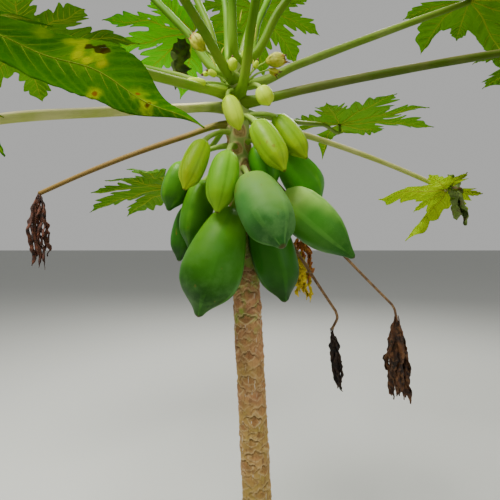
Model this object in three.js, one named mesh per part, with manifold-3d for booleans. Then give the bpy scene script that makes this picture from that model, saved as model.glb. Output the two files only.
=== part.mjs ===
// Papaya tree in fruit: one leaning stem, a crown of long-stalked lobed leaves, and a column of green fruit.
// Millimetres, +Z up. The origin is the middle of the flat cut under the stem, at ground level.
// Compass angles are in degrees seen from above: 0 is +X, 90 is +Y, and 270 faces the viewer.
import * as THREE from "three";
import { mergeVertices } from "three/addons/utils/BufferGeometryUtils.js";
import Module from "manifold-3d";

const wasm = await Module();
wasm.setup();

// Driving dimensions
const LEAN = -0.05; // sideways shift of the stem for each millimetre of height
const SEAT_GAP = 0.3; // clearance between a piece and what carries it
const STEM_SIDES = 14;
const STEM_PROFILE = [
  // height, radius
  [0, 60],
  [35, 49],
  [90, 42],
  [220, 38.5],
  [480, 37.5],
  [760, 36.5],
  [940, 34.5],
  [1100, 32],
  [1240, 29],
  [1340, 26.5],
  [1410, 21],
  [1446, 11],
];
const STEM_TIP = 1456;

const STALK_SIDES = 6;
const STALK_TAPER = 0.66; // radius at the blade over radius at the stem
const STALK_HOOK = 38; // the last stretch of a stalk, which turns up into its blade

const BLADE_THICKNESS = 3;
const BLADE_INNER = 0.42; // where the ring between middle and edge lies
const SHOULDER_REACH = 0.66; // side points of a lobe, as a part of its length
const SHOULDER_SPREAD = 0.36; // and as a part of the angle between two lobes
const FULL_LOBES = [0.5, 0.7, 0.84, 0.95, 1, 0.95, 0.84, 0.7, 0.5]; // lobe lengths, once round the blade
const FULL_STEP = 36; // angle between lobes
const YOUNG_LOBES = [0.46, 0.7, 0.9, 1, 0.9, 0.7, 0.46];
const YOUNG_STEP = 46;
const SINUS_DEPTH = 0.42; // how far in the cuts between lobes reach
const BACK_SINUS = 0.1; // the deeper cut over the stalk

const FRUIT_SIDES = 8;
const FRUIT_PROFILE = [
  // part of the length from the shoulder, part of the largest radius
  [0.0, 0.3],
  [0.09, 0.62],
  [0.32, 0.88],
  [0.6, 1.0],
  [0.8, 0.76],
  [0.94, 0.28],
  [1.0, 0.08],
];
const FRUIT_STALK_RADIUS = 6;

// Leaves
// base: height on the stem; turn: where round the stem the stalk leaves it
// way, reach, rise: level direction, level distance and height of the blade's middle from the base
// sag: how far the stalk hangs under its straight line; radius: the stalk's, at the stem
// size: the longest lobe; lobes: lobe lengths of its own; droop: how far the lobe ends hang
// pitch: the blade's tilt; fall: the way it tilts to; heading: where its middle lobe points
// A wilted blade has turned over and hangs from its stalk.
const LEAVES = [
  { name: "left_near_low", base: 1290, turn: 200, way: 227, reach: 720, rise: -192, radius: 12, size: 350,
    pitch: 18, droop: 0.2, sag: -8, green: 0x4c8a1e },
  { name: "left_near_high", base: 1320, turn: 224, way: 240, reach: 720, rise: -110, radius: 12, size: 374,
    pitch: 39, fall: 285, heading: 237, droop: 0.14, sag: 0, green: 0x3f7d1c,
    lobes: [0.4, 0.55, 0.7, 0.75, 0.8, 0.8, 0.85, 1, 0.42] },
  { name: "left_far", base: 1352, turn: 160, way: 163, reach: 700, rise: 212, radius: 8.5, size: 370,
    pitch: 12, droop: 0.18, sag: -6, green: 0x5a9a22 },
  { name: "front_left_rising", base: 1362, turn: 250, way: 238, reach: 600, rise: 300, radius: 12, size: 350,
    pitch: 10, droop: 0.2, sag: -20, green: 0x569423 },
  { name: "back_left_rising", base: 1408, turn: 140, way: 146, reach: 330, rise: 555, radius: 10.5, size: 290,
    pitch: 8, droop: 0.16, sag: -20, green: 0x5f9d26 },
  { name: "left_rising", base: 1386, turn: 182, way: 176, reach: 490, rise: 455, radius: 11, size: 320,
    pitch: 10, droop: 0.2, sag: -15, green: 0x5f9d26 },
  { name: "front_young", base: 1418, turn: 268, way: 268, reach: 330, rise: 540, radius: 11, size: 250,
    pitch: 8, droop: 0.16, sag: -15, young: true, green: 0x6aa82c },
  { name: "back_young", base: 1430, turn: 112, way: 118, reach: 190, rise: 640, radius: 10, size: 210,
    pitch: 6, droop: 0.14, sag: -10, young: true, green: 0x6aa82c },
  { name: "front_right_rising", base: 1325, turn: 288, way: 286, reach: 483, rise: 470, radius: 12, size: 310,
    pitch: 10, droop: 0.18, sag: -15, green: 0x569423 },
  { name: "right_rising", base: 1415, turn: 345, way: 347, reach: 440, rise: 500, radius: 11.5, size: 300,
    pitch: 8, droop: 0.18, sag: -10, green: 0x5f9d26 },
  { name: "back_right_rising", base: 1426, turn: 44, way: 52, reach: 390, rise: 600, radius: 10.5, size: 280,
    pitch: 8, droop: 0.18, sag: -10, young: true, green: 0x6aa82c },
  { name: "right_high", base: 1358, turn: 4, way: 1, reach: 620, rise: 222, radius: 12, size: 330,
    pitch: 14, droop: 0.2, sag: -8, green: 0x569423 },
  { name: "right_middle", base: 1306, turn: 338, way: 344, reach: 730, rise: 64, radius: 12, size: 350,
    pitch: 12, droop: 0.2, sag: -8, green: 0x4c8a1e },
  { name: "right_yellow", base: 1266, turn: 24, way: 7, reach: 596, rise: -182, radius: 9, size: 205,
    pitch: 148, fall: 270, heading: 225, droop: -0.3, sag: -16, young: true, green: 0xb4b81c },
  { name: "right_back", base: 1292, turn: 50, way: 49, reach: 553, rise: 76, radius: 8.5, size: 350,
    pitch: 12, fall: 75, heading: 9, droop: 0.1, sag: 10, green: 0x4f9420 },
  { name: "back_left_bright", base: 1340, turn: 110, way: 112, reach: 454, rise: 360, radius: 10.5, size: 345,
    pitch: 6, droop: 0.16, sag: -10, green: 0x76ae26 },
  { name: "back_rising", base: 1396, turn: 84, way: 84, reach: 540, rise: 455, radius: 11, size: 330,
    pitch: 12, droop: 0.2, sag: -10, green: 0x5f9d26 },
  { name: "back_left_low", base: 1270, turn: 122, way: 120, reach: 540, rise: -128, radius: 8.5, size: 365,
    pitch: 14, fall: 185, droop: 0.14, sag: 14, green: 0x478a1c },
];

// Fruit: base and turn, where its short stalk leaves the stem; shoulder and tip, its ends; radius, its widest
const FRUIT = [
  { name: "upper_front", base: 1258, turn: 285, radius: 33,
    shoulder: [-16, -84, 1232], tip: [50, -140, 1104], green: 0x9fb81f },
  { name: "upper_right", base: 1262, turn: 318, radius: 31,
    shoulder: [34, -46, 1256], tip: [110, -74, 1146], green: 0x9ab722 },
  { name: "middle_right_inner", base: 1196, turn: 318, radius: 35,
    shoulder: [-14, -36, 1186], tip: [24, -52, 1072], green: 0x5c9a2a },
  { name: "middle_right_outer", base: 1214, turn: 350, radius: 52,
    shoulder: [38, 0, 1194], tip: [162, 20, 1040], green: 0x2f7a22 },
  { name: "front_centre", base: 1128, turn: 285, radius: 60,
    shoulder: [-32, -98, 1090], tip: [38, -236, 930], green: 0x4c8a4c },
  { name: "right_large", base: 1084, turn: 335, radius: 58,
    shoulder: [56, -40, 1063], tip: [216, -70, 902], green: 0x4a9040 },
  { name: "lower_right", base: 1026, turn: 318, radius: 57,
    shoulder: [-2, -52, 1008], tip: [58, -66, 788], green: 0x3f8a3a },
  { name: "lower_left_large", base: 1046, turn: 246, radius: 75,
    shoulder: [-74, -60, 1022], tip: [-156, -116, 760], green: 0x4a9038 },
  { name: "middle_front", base: 1184, turn: 246, radius: 37,
    shoulder: [-84, -86, 1158], tip: [-108, -138, 1008], green: 0x62a02a },
  { name: "upper_left", base: 1224, turn: 208, radius: 31,
    shoulder: [-146, -60, 1192], tip: [-188, -112, 1064], green: 0x86a822 },
  { name: "left_outer", base: 1192, turn: 180, radius: 37,
    shoulder: [-204, 2, 1150], tip: [-248, -4, 1022], green: 0x35802a },
  { name: "left_middle", base: 1120, turn: 200, radius: 42,
    shoulder: [-150, -8, 1100], tip: [-190, -16, 922], green: 0x3c842c },
  { name: "left_lower_back", base: 1060, turn: 158, radius: 37,
    shoulder: [-194, 62, 1042], tip: [-232, 60, 884], green: 0x3a8030 },
  { name: "back_right", base: 1112, turn: 74, radius: 52,
    shoulder: [-22, 98, 1092], tip: [0, 134, 896], green: 0x3c842c },
  { name: "back_left", base: 1020, turn: 128, radius: 52,
    shoulder: [-104, 96, 998], tip: [-140, 128, 808], green: 0x3f8a3a },
  { name: "back_upper", base: 1204, turn: 112, radius: 43,
    shoulder: [-88, 84, 1184], tip: [-104, 118, 1040], green: 0x4c8f2c },
];

// Old stalks whose leaves have withered. Each dead leaf hangs from its stalk's end down to its bottom.
const OLD_STALKS = [
  { name: "petiole_left_old", leaf: "withered_leaf_left", base: 1250, turn: 182, radius: 8, sag: -12,
    end: [-590, -4, 1068], bottom: [-600, -6, 868], wide: 44, thick: 24, tan: 0x9a8a52, brown: 0x4a3a22 },
  { name: "dead_stalk_right_near", leaf: "withered_leaf_right_near", base: 1108, turn: 20, radius: 5, sag: 6,
    end: [206, 34, 748], bottom: [206, 36, 522], wide: 22, thick: 16, tan: 0x5a4028, brown: 0x2a1c14 },
  { name: "dead_stalk_right_far", leaf: "withered_leaf_right_far", base: 1200, turn: 66, radius: 5, sag: 8,
    end: [392, 120, 752], bottom: [430, 125, 444], wide: 44, thick: 25, tan: 0x5a4028, brown: 0x3a2616 },
];
const OLD_STALK_TAPER = 0.6;
const WITHERED_SWELL = [0.25, 0.75, 1, 0.8, 0.9, 0.55, 0.2];
const WITHERED_SIDES = 6;
const BUNCH = {
  name: "withered_bunch_back", base: 1052, turn: 42, radius: 5,
  knee: [66, 66, 1004], top: [112, 74, 962], bottom: [124, 78, 764], wide: 30, thick: 22, brown: 0x8a5a1e,
};

const UP = new THREE.Vector3(0, 0, 1);
const vec = (xyz) => new THREE.Vector3(...xyz);
const radians = THREE.MathUtils.degToRad;
const compass = (degrees) => new THREE.Vector3(Math.cos(radians(degrees)), Math.sin(radians(degrees)), 0);
const stemAxis = (height) => new THREE.Vector3(LEAN * height, 0, height);

function stemRadius(height) {
  const above = STEM_PROFILE.findIndex(([h]) => h > height);
  if (above < 0) return STEM_PROFILE.at(-1)[1];
  const [[h0, r0], [h1, r1]] = [STEM_PROFILE[above - 1], STEM_PROFILE[above]];
  return r0 + ((r1 - r0) * (height - h0)) / (h1 - h0);
}

// A stem turned on a lathe and then sheared, so that its foot stays flat on the ground.
function stemGeometry(clearance) {
  const outline = [new THREE.Vector2(0, -clearance)];
  for (const [height, radius] of STEM_PROFILE)
    outline.push(new THREE.Vector2(radius + clearance, height === 0 ? -clearance : height));
  outline.push(new THREE.Vector2(0, STEM_TIP + clearance));
  const lean = new THREE.Matrix4().makeShear(0, 0, 0, 0, 0, 0);
  lean.elements[8] = LEAN;
  return new THREE.LatheGeometry(outline, STEM_SIDES).rotateX(Math.PI / 2).applyMatrix4(lean);
}

function asSolid(geometry) {
  const bare = geometry.clone();
  bare.deleteAttribute("normal");
  bare.deleteAttribute("uv");
  const merged = mergeVertices(bare, 1e-3);
  return new wasm.Manifold(
    new wasm.Mesh({
      numProp: 3,
      vertProperties: new Float32Array(merged.attributes.position.array),
      triVerts: new Uint32Array(merged.index.array),
    }),
  );
}

function asGeometry(solid) {
  const mesh = solid.getMesh();
  const geometry = new THREE.BufferGeometry();
  geometry.setAttribute("position", new THREE.BufferAttribute(mesh.vertProperties, 3));
  geometry.setIndex(new THREE.BufferAttribute(mesh.triVerts, 1));
  return geometry;
}

// A closed skin over a row of rings. A ring has a centre, a width and a thickness across the run, and may
// state the way that it faces.
function loft(rings, sides) {
  const tangents = rings.map((ring, i) => {
    if (ring.facing) return ring.facing;
    const before = rings[Math.max(i - 1, 0)].centre;
    const after = rings[Math.min(i + 1, rings.length - 1)].centre;
    return new THREE.Vector3().subVectors(after, before).normalize();
  });
  const start = Math.abs(tangents[0].z) > 0.9 ? new THREE.Vector3(1, 0, 0) : UP;
  let side = new THREE.Vector3().crossVectors(tangents[0], start).normalize();
  const points = [];
  rings.forEach((ring, i) => {
    side = side.clone().addScaledVector(tangents[i], -side.dot(tangents[i])).normalize();
    const across = new THREE.Vector3().crossVectors(tangents[i], side);
    for (let k = 0; k < sides; k++) {
      const angle = (2 * Math.PI * k) / sides;
      const bump = ring.bump ? 1 + ring.bump * Math.sin(3 * angle + 2 * i) : 1;
      const point = ring.centre
        .clone()
        .addScaledVector(side, ring.wide * bump * Math.cos(angle))
        .addScaledVector(across, ring.thick * bump * Math.sin(angle));
      points.push(point.x, point.y, point.z);
    }
  });
  const faces = [];
  for (let i = 0; i < rings.length - 1; i++)
    for (let k = 0; k < sides; k++) {
      const [a, b] = [i * sides + k, i * sides + ((k + 1) % sides)];
      faces.push(a, b, b + sides, a, b + sides, a + sides);
    }
  const last = (rings.length - 1) * sides;
  for (let k = 1; k < sides - 1; k++) {
    faces.push(0, k + 1, k);
    faces.push(last, last + k, last + k + 1);
  }
  const geometry = new THREE.BufferGeometry();
  geometry.setAttribute("position", new THREE.Float32BufferAttribute(points, 3));
  geometry.setIndex(faces);
  return geometry;
}

const stemClearance = asSolid(stemGeometry(SEAT_GAP));
// What grows from the stem starts inside it and is cut back to a seat just off its skin.
const seatOnStem = (geometry) => asGeometry(asSolid(geometry).subtract(stemClearance));

// The blade's own axes: forward along its middle lobe, side, and normal on its upper face.
function bladeFrame(leaf) {
  const outward = compass(leaf.way);
  const forward = compass(leaf.heading ?? leaf.way);
  const hinge = new THREE.Vector3().crossVectors(UP, compass(leaf.fall ?? leaf.way));
  const tilt = new THREE.Quaternion().setFromAxisAngle(hinge, radians(leaf.pitch));
  return {
    centre: stemAxis(leaf.base).addScaledVector(outward, leaf.reach).addScaledVector(UP, leaf.rise),
    side: new THREE.Vector3().crossVectors(UP, forward).applyQuaternion(tilt),
    forward: forward.applyQuaternion(tilt),
    normal: UP.clone().applyQuaternion(tilt),
  };
}

// The edge of a blade as angles and distances from its middle, once round.
function bladeOutline(leaf) {
  const lengths = leaf.lobes ?? (leaf.young ? YOUNG_LOBES : FULL_LOBES);
  const step = leaf.young ? YOUNG_STEP : FULL_STEP;
  const last = lengths.length - 1;
  return lengths.flatMap((part, i) => {
    const length = part * leaf.size;
    const angle = (i - last / 2) * step;
    const cut = [angle + step / 2, SINUS_DEPTH * leaf.size * Math.sqrt(part)];
    if (i === 0) return [[angle, length], cut];
    if (i === last) return [[angle, length], [180, BACK_SINUS * leaf.size]];
    const shoulder = (side) => [angle + side * step * SHOULDER_SPREAD, length * SHOULDER_REACH];
    return [shoulder(-1), [angle, length], shoulder(1), cut];
  });
}

function bladeGeometry(leaf) {
  const frame = bladeFrame(leaf);
  const edge = bladeOutline(leaf);
  const count = edge.length;
  const points = [];
  const place = (angle, distance, depth) => {
    const hang = leaf.droop * leaf.size * (distance / leaf.size) ** 2;
    const point = frame.centre
      .clone()
      .addScaledVector(frame.forward, distance * Math.cos(radians(angle)))
      .addScaledVector(frame.side, distance * Math.sin(radians(angle)))
      .addScaledVector(frame.normal, -hang - depth);
    points.push(point.x, point.y, point.z);
  };
  for (const depth of [0, BLADE_THICKNESS]) {
    place(0, 0, depth);
    for (const [angle, distance] of edge) place(angle, distance * BLADE_INNER, depth);
    for (const [angle, distance] of edge) place(angle, distance, depth);
  }
  const faces = [];
  const lower = 1 + 2 * count;
  for (let k = 0; k < count; k++) {
    const next = (k + 1) % count;
    const [inner, innerNext] = [1 + k, 1 + next];
    const [outer, outerNext] = [inner + count, innerNext + count];
    for (const [a, b, c] of [
      [0, inner, innerNext],
      [inner, outer, outerNext],
      [inner, outerNext, innerNext],
    ]) {
      faces.push(a, b, c);
      faces.push(lower + a, lower + c, lower + b);
    }
    faces.push(outer, lower + outer, lower + outerNext);
    faces.push(outer, lower + outerNext, outerNext);
  }
  const geometry = new THREE.BufferGeometry();
  geometry.setAttribute("position", new THREE.Float32BufferAttribute(points, 3));
  geometry.setIndex(faces);
  return geometry;
}

// A smooth run out of the stem: level where it leaves, then along to its far end.
function stalkRings({ base, turn, radius, sag }, end, lastWay, taper) {
  const outward = compass(turn);
  const start = stemAxis(base).addScaledVector(outward, stemRadius(base) * 0.4);
  const leaving = stemAxis(base).addScaledVector(outward, stemRadius(base) + radius * 0.6);
  const span = new THREE.Vector3().subVectors(end, leaving);
  const bow = new THREE.Vector3(0, 0, -sag);
  const path = [start, leaving];
  for (const part of [0.22, 0.5, 0.78])
    path.push(leaving.clone().addScaledVector(span, part).addScaledVector(bow, 4 * part * (1 - part)));
  if (lastWay) path.push(end.clone().addScaledVector(lastWay, -STALK_HOOK));
  path.push(end);
  return path.map((centre, i) => {
    const along = centre.distanceTo(start) / end.distanceTo(start);
    const thick = radius * (1 - (1 - taper) * Math.min(along, 1));
    return { centre, wide: thick, thick, facing: i === path.length - 1 ? lastWay : null };
  });
}

function petioleGeometry(leaf) {
  const frame = bladeFrame(leaf);
  const endRadius = leaf.radius * STALK_TAPER;
  const slope = Math.max(leaf.droop, 0) * BLADE_INNER;
  const below = BLADE_THICKNESS + SEAT_GAP + endRadius * slope;
  const end = frame.centre.clone().addScaledVector(frame.normal, -below);
  return seatOnStem(loft(stalkRings(leaf, end, frame.normal, STALK_TAPER), STALK_SIDES));
}

const oldStalkRings = (stalk) => stalkRings(stalk, vec(stalk.end), null, OLD_STALK_TAPER);
const oldStalkGeometry = (stalk) => seatOnStem(loft(oldStalkRings(stalk), STALK_SIDES));

function fruitGeometry(fruit) {
  const outward = compass(fruit.turn);
  const start = stemAxis(fruit.base).addScaledVector(outward, stemRadius(fruit.base) * 0.4);
  const knee = stemAxis(fruit.base).addScaledVector(outward, stemRadius(fruit.base) + 12);
  const [shoulder, tip] = [vec(fruit.shoulder), vec(fruit.tip)];
  const stalk = new THREE.QuadraticBezierCurve3(start, knee, shoulder);
  const rings = [0, 0.5].map((along) => ({
    centre: stalk.getPoint(along),
    wide: FRUIT_STALK_RADIUS,
    thick: FRUIT_STALK_RADIUS,
  }));
  for (const [along, part] of FRUIT_PROFILE)
    rings.push({
      centre: shoulder.clone().lerp(tip, along),
      wide: fruit.radius * part,
      thick: fruit.radius * part,
    });
  return seatOnStem(loft(rings, FRUIT_SIDES));
}

function hangingRings(top, piece) {
  return WITHERED_SWELL.map((swell, i) => ({
    centre: top.clone().lerp(vec(piece.bottom), i / (WITHERED_SWELL.length - 1)),
    wide: piece.wide * swell,
    thick: piece.thick * swell,
    bump: 0.16,
  }));
}

// A dead leaf starts just under the lowest point of its stalk's cut end.
function hangingLeafGeometry(stalk) {
  const [before, last] = oldStalkRings(stalk).slice(-2);
  const along = new THREE.Vector3().subVectors(last.centre, before.centre).normalize();
  const drop = last.wide * Math.hypot(along.x, along.y) + SEAT_GAP;
  return loft(hangingRings(last.centre.clone().addScaledVector(UP, -drop), stalk), WITHERED_SIDES);
}

function bunchGeometry(bunch) {
  const outward = compass(bunch.turn);
  const start = stemAxis(bunch.base).addScaledVector(outward, stemRadius(bunch.base) * 0.4);
  const { radius } = bunch;
  const stalk = [start, vec(bunch.knee)].map((centre) => ({ centre, wide: radius, thick: radius }));
  return seatOnStem(loft([...stalk, ...hangingRings(vec(bunch.top), bunch)], WITHERED_SIDES));
}

const tree = new THREE.Group();
function add(name, geometry, color, roughness) {
  const mesh = new THREE.Mesh(geometry, new THREE.MeshStandardMaterial({ color, roughness, metalness: 0 }));
  mesh.name = name;
  tree.add(mesh);
}

add("trunk", stemGeometry(0), 0x9a7a58, 0.9);
for (const leaf of LEAVES) {
  add(`petiole_${leaf.name}`, petioleGeometry(leaf), 0x86a040, 0.5);
  add(`blade_${leaf.name}`, bladeGeometry(leaf), leaf.green, 0.6);
}
for (const fruit of FRUIT) add(`fruit_${fruit.name}`, fruitGeometry(fruit), fruit.green, 0.4);
for (const stalk of OLD_STALKS) {
  add(stalk.name, oldStalkGeometry(stalk), stalk.tan, 0.8);
  add(stalk.leaf, hangingLeafGeometry(stalk), stalk.brown, 0.9);
}
add(BUNCH.name, bunchGeometry(BUNCH), BUNCH.brown, 0.9);

export default tree;
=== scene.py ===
# %% [markdown]
# This file builds the looks of a papaya tree in fruit. A papaya is a soft stem with no branches: leaf
# stalks come straight out of its top, the fruit hangs in a column under them, and every leaf that fell has
# left a scar on the bark. The tree's solids come from the CAD frame, and each one is replaced here by a
# mesh with its real surface. Lengths are in metres, +Z is up and the viewer looks along +Y.

# %% Load the frame
import math

import bpy
import numpy as np
from mathutils import Matrix, Vector


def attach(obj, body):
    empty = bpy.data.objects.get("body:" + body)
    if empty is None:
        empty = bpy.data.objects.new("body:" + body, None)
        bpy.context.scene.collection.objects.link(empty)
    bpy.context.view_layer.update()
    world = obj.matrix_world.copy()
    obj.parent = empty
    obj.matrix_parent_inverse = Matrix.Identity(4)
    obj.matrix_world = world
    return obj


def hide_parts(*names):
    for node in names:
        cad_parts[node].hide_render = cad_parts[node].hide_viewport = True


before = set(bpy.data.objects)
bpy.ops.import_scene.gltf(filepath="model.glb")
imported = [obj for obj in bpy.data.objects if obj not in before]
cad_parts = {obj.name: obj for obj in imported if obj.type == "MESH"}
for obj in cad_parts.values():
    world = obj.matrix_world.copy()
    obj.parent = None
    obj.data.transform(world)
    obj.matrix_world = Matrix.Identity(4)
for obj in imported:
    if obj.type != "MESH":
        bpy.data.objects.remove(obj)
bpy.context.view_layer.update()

# %% [markdown]
# The camera stands at breast height, a little over a metre in front of the stem, and looks down by less
# than two degrees. A camera this near makes the front leaves large and lets the crown run out of the
# picture. The light is that of a bright, hazy day: a pale sky all round does most of the work, a wide lamp
# on the left gives the fruit its soft shading, and one behind the crown shines through the leaves.

# %% Camera, lamps and floor
CAMERA_PLACE = (-0.031, -1.08, 0.95)
CAMERA_TILT = 1.7  # degrees below the horizon
FOCAL_PIXELS = 404  # focal length, in pixels of a picture 500 wide
PICTURE_WIDE = 500
SKY, SKY_STRENGTH = (0.90, 0.90, 0.88, 1), 0.52
WARM_WHITE = (1, 0.98, 0.92)
FLOOR_REACH = 30

camera = bpy.data.objects.new("camera", bpy.data.cameras.new("camera"))
bpy.context.scene.collection.objects.link(camera)
camera.location = CAMERA_PLACE
camera.rotation_euler = (math.radians(90 - CAMERA_TILT), 0, 0)
camera.data.lens = camera.data.sensor_width * FOCAL_PIXELS / PICTURE_WIDE
bpy.context.scene.camera = camera


def lamp(name, place, target, size, power, colour=WARM_WHITE):
    data = bpy.data.lights.new(name, "AREA")
    data.shape, data.size, data.energy, data.color = "DISK", size, power, colour
    obj = bpy.data.objects.new(name, data)
    bpy.context.scene.collection.objects.link(obj)
    obj.location = place
    obj.rotation_euler = (Vector(target) - Vector(place)).to_track_quat("-Z", "Y").to_euler()


lamp("key", (-1.1, -1.2, 3.6), (0, 0, 1.1), size=1.5, power=245)
lamp("fill", (2.6, -1.9, 1.9), (0, 0, 1.0), size=2.0, power=20, colour=(1, 0.99, 0.94))
lamp("behind", (0.5, 2.3, 3.6), (0, 0, 1.4), size=2.2, power=225)

world = bpy.data.worlds.new("sky")
bpy.context.scene.world = world
world.use_nodes = True
world.node_tree.nodes["Background"].inputs["Color"].default_value = SKY
world.node_tree.nodes["Background"].inputs["Strength"].default_value = SKY_STRENGTH

floor_mesh = bpy.data.meshes.new("floor")
corners = [(x * FLOOR_REACH, y * FLOOR_REACH, 0) for x, y in ((-1, -1), (1, -1), (1, 1), (-1, 1))]
floor_mesh.from_pydata(corners, [], [(0, 1, 2, 3)])
floor = bpy.data.objects.new("floor", floor_mesh)
bpy.context.scene.collection.objects.link(floor)
print("camera lens", round(camera.data.lens, 2), "mm")

# %% [markdown]
# Finishes are node materials. Building them link by link hides the idea of the formula, so a socket is
# wrapped in a small class that knows + - * and their reflected forms: 1 - mask then reads as it is meant.
# A colour never goes through these operators, because a Math node turns it grey. It is laid on in coats,
# each a Mix node over the ones below. Every other node comes from the one method node().


# %% Numbers in formulas
class Field:
    """A socket that carries a number, ready to be used in a formula."""

    def __init__(self, finish, socket):
        self.finish, self.socket = finish, socket

    def maths(self, operation, *terms):
        return self.finish.node("ShaderNodeMath", {"operation": operation}, dict(enumerate(terms)))

    def __add__(self, other):
        return self.maths("ADD", self, other)

    def __sub__(self, other):
        return self.maths("SUBTRACT", self, other)

    def __rsub__(self, other):
        return self.maths("SUBTRACT", other, self)

    def __mul__(self, other):
        return self.maths("MULTIPLY", self, other)

    def __pow__(self, other):
        return self.maths("POWER", self, other)

    __radd__, __rmul__ = __add__, __mul__


print("reflected forms:", [name for name in vars(Field) if name.startswith("__r")])


# %% Finishes
def tint(code):
    """A screen colour such as 'a8b04c' as the linear colour that Blender works with."""
    if isinstance(code, Field):
        return code
    parts = [int(code[i : i + 2], 16) / 255 for i in (0, 2, 4)]
    return (*[p / 12.92 if p <= 0.04045 else ((p + 0.055) / 1.055) ** 2.4 for p in parts], 1)


class Finish:
    """A material, and the few ways in which its nodes are made."""

    def __init__(self, name, colour):
        self.material = bpy.data.materials.new(name)
        self.material.use_nodes = True
        self.tree = self.material.node_tree
        self.tree.nodes.clear()
        self.colour = colour

    def node(self, kind, settings=None, sockets=None, output=0):
        made = self.tree.nodes.new(kind)
        for key, value in (settings or {}).items():
            setattr(made, key, value)
        for key, value in (sockets or {}).items():
            if isinstance(value, Field):
                self.tree.links.new(value.socket, made.inputs[key])
            else:
                made.inputs[key].default_value = value
        return Field(self, made.outputs[output]) if made.outputs else None

    def place(self, stretch=(1, 1, 1)):
        """Where a point of the tree is, in metres, stretched for patterns that run one way."""
        where = self.node("ShaderNodeTexCoord", output="Object")
        return self.node("ShaderNodeVectorMath", {"operation": "MULTIPLY"}, {0: where, 1: stretch})

    def part(self, vector, axis):
        return self.node("ShaderNodeSeparateXYZ", sockets={0: vector}, output=axis)

    def upward(self):
        """1 where the skin faces the sky, -1 where it faces the ground."""
        return self.part(self.node("ShaderNodeNewGeometry", output="Normal"), "Z")

    def noise(self, scale, detail=3, stretch=(1, 1, 1), roughness=0.5):
        sockets = {"Vector": self.place(stretch), "Scale": scale, "Detail": detail, "Roughness": roughness}
        return self.node("ShaderNodeTexNoise", sockets=sockets, output="Fac")

    def cells(self, scale, feature):
        """Distance in a net of cells: to the nearest wall or, for F1, to the nearest middle."""
        sockets = {"Vector": self.place(), "Scale": scale}
        return self.node("ShaderNodeTexVoronoi", {"feature": feature}, sockets, output="Distance")

    def value(self, name):
        """A number that the mesh carries at its points."""
        return self.node("ShaderNodeAttribute", {"attribute_name": name}, output="Fac")

    def step(self, field, low, high):
        """0 below low, 1 above high and smooth in between."""
        sockets = {"Value": field, "From Min": low, "From Max": high}
        return self.node("ShaderNodeMapRange", {"interpolation_type": "SMOOTHSTEP"}, sockets)

    def patches(self, scale, detail, low, high, **more):
        return self.step(self.noise(scale, detail, **more), low, high)

    def mix(self, first, second, share):
        sockets = {0: share, 6: tint(first), 7: tint(second)}
        return self.node("ShaderNodeMix", {"data_type": "RGBA"}, sockets, output=2)

    def lay(self, colour, share):
        """One more coat: this colour over the ones below, as far as share goes from 0 to 1."""
        self.colour = self.mix(self.colour, colour, share)

    def bump(self, height, strength, distance):
        sockets = {"Height": height, "Strength": strength, "Distance": distance}
        return self.node("ShaderNodeBump", sockets=sockets)

    def surface(self, roughness, normal=None, glow=None, share=0.0, shine=0.5):
        """The finish itself. glow is the colour of the light that comes through a thin leaf."""
        inputs = {"Base Color": tint(self.colour), "Roughness": roughness, "Specular IOR Level": shine}
        if normal:
            inputs["Normal"] = normal
        skin = self.node("ShaderNodeBsdfPrincipled", sockets=inputs)
        if glow:
            through = self.node("ShaderNodeBsdfTranslucent", sockets={"Color": tint(glow)})
            skin = self.node("ShaderNodeMixShader", sockets={0: share, 1: skin, 2: through})
        self.node("ShaderNodeOutputMaterial", sockets={"Surface": skin})
        return self.material


floor_mesh.materials.append(Finish("pale_floor", "a6a8a4").surface(0.9))
print("floor colour", [round(x, 3) for x in tint("a6a8a4")])

# %% [markdown]
# Almost everything on a plant is a tube that bends and changes its thickness: stem, stalks, veins and
# fruit. One function lays rings along a line and carries the ring's direction on from one to the next, so
# that the skin doesn't twist. A Shape gathers such parts and becomes one mesh with several finishes, and
# numbers stored at its points tell the finish where on the plant it is.


# %% Lines and tubes
def smooth_line(knots, count):
    """A smooth curve through the knots as evenly spaced points."""
    knots = np.asarray(knots, float)
    gaps = np.linalg.norm(np.diff(knots, axis=0), axis=1)
    at = np.concatenate([[0], np.cumsum(gaps)])
    slopes = np.diff(knots, axis=0) / gaps[:, None]
    weight = (gaps[1:] / (gaps[1:] + gaps[:-1]))[:, None]
    turns = np.vstack([slopes[:1], slopes[:-1] * weight + slopes[1:] * (1 - weight), slopes[-1:]])
    wanted = np.linspace(0, at[-1], count)
    k = np.clip(np.searchsorted(at, wanted, side="right") - 1, 0, len(gaps) - 1)
    t, gap = ((wanted - at[k]) / gaps[k])[:, None], gaps[k][:, None]
    start = (1 + 2 * t) * (1 - t) ** 2 * knots[k] + t * (1 - t) ** 2 * gap * turns[k]
    return start + t * t * (3 - 2 * t) * knots[k + 1] + t * t * (t - 1) * gap * turns[k + 1]


def unit(vectors):
    return vectors / np.linalg.norm(vectors, axis=-1, keepdims=True)


def ring_angles(sides):
    return np.arange(sides) * 2 * math.pi / sides


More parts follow.
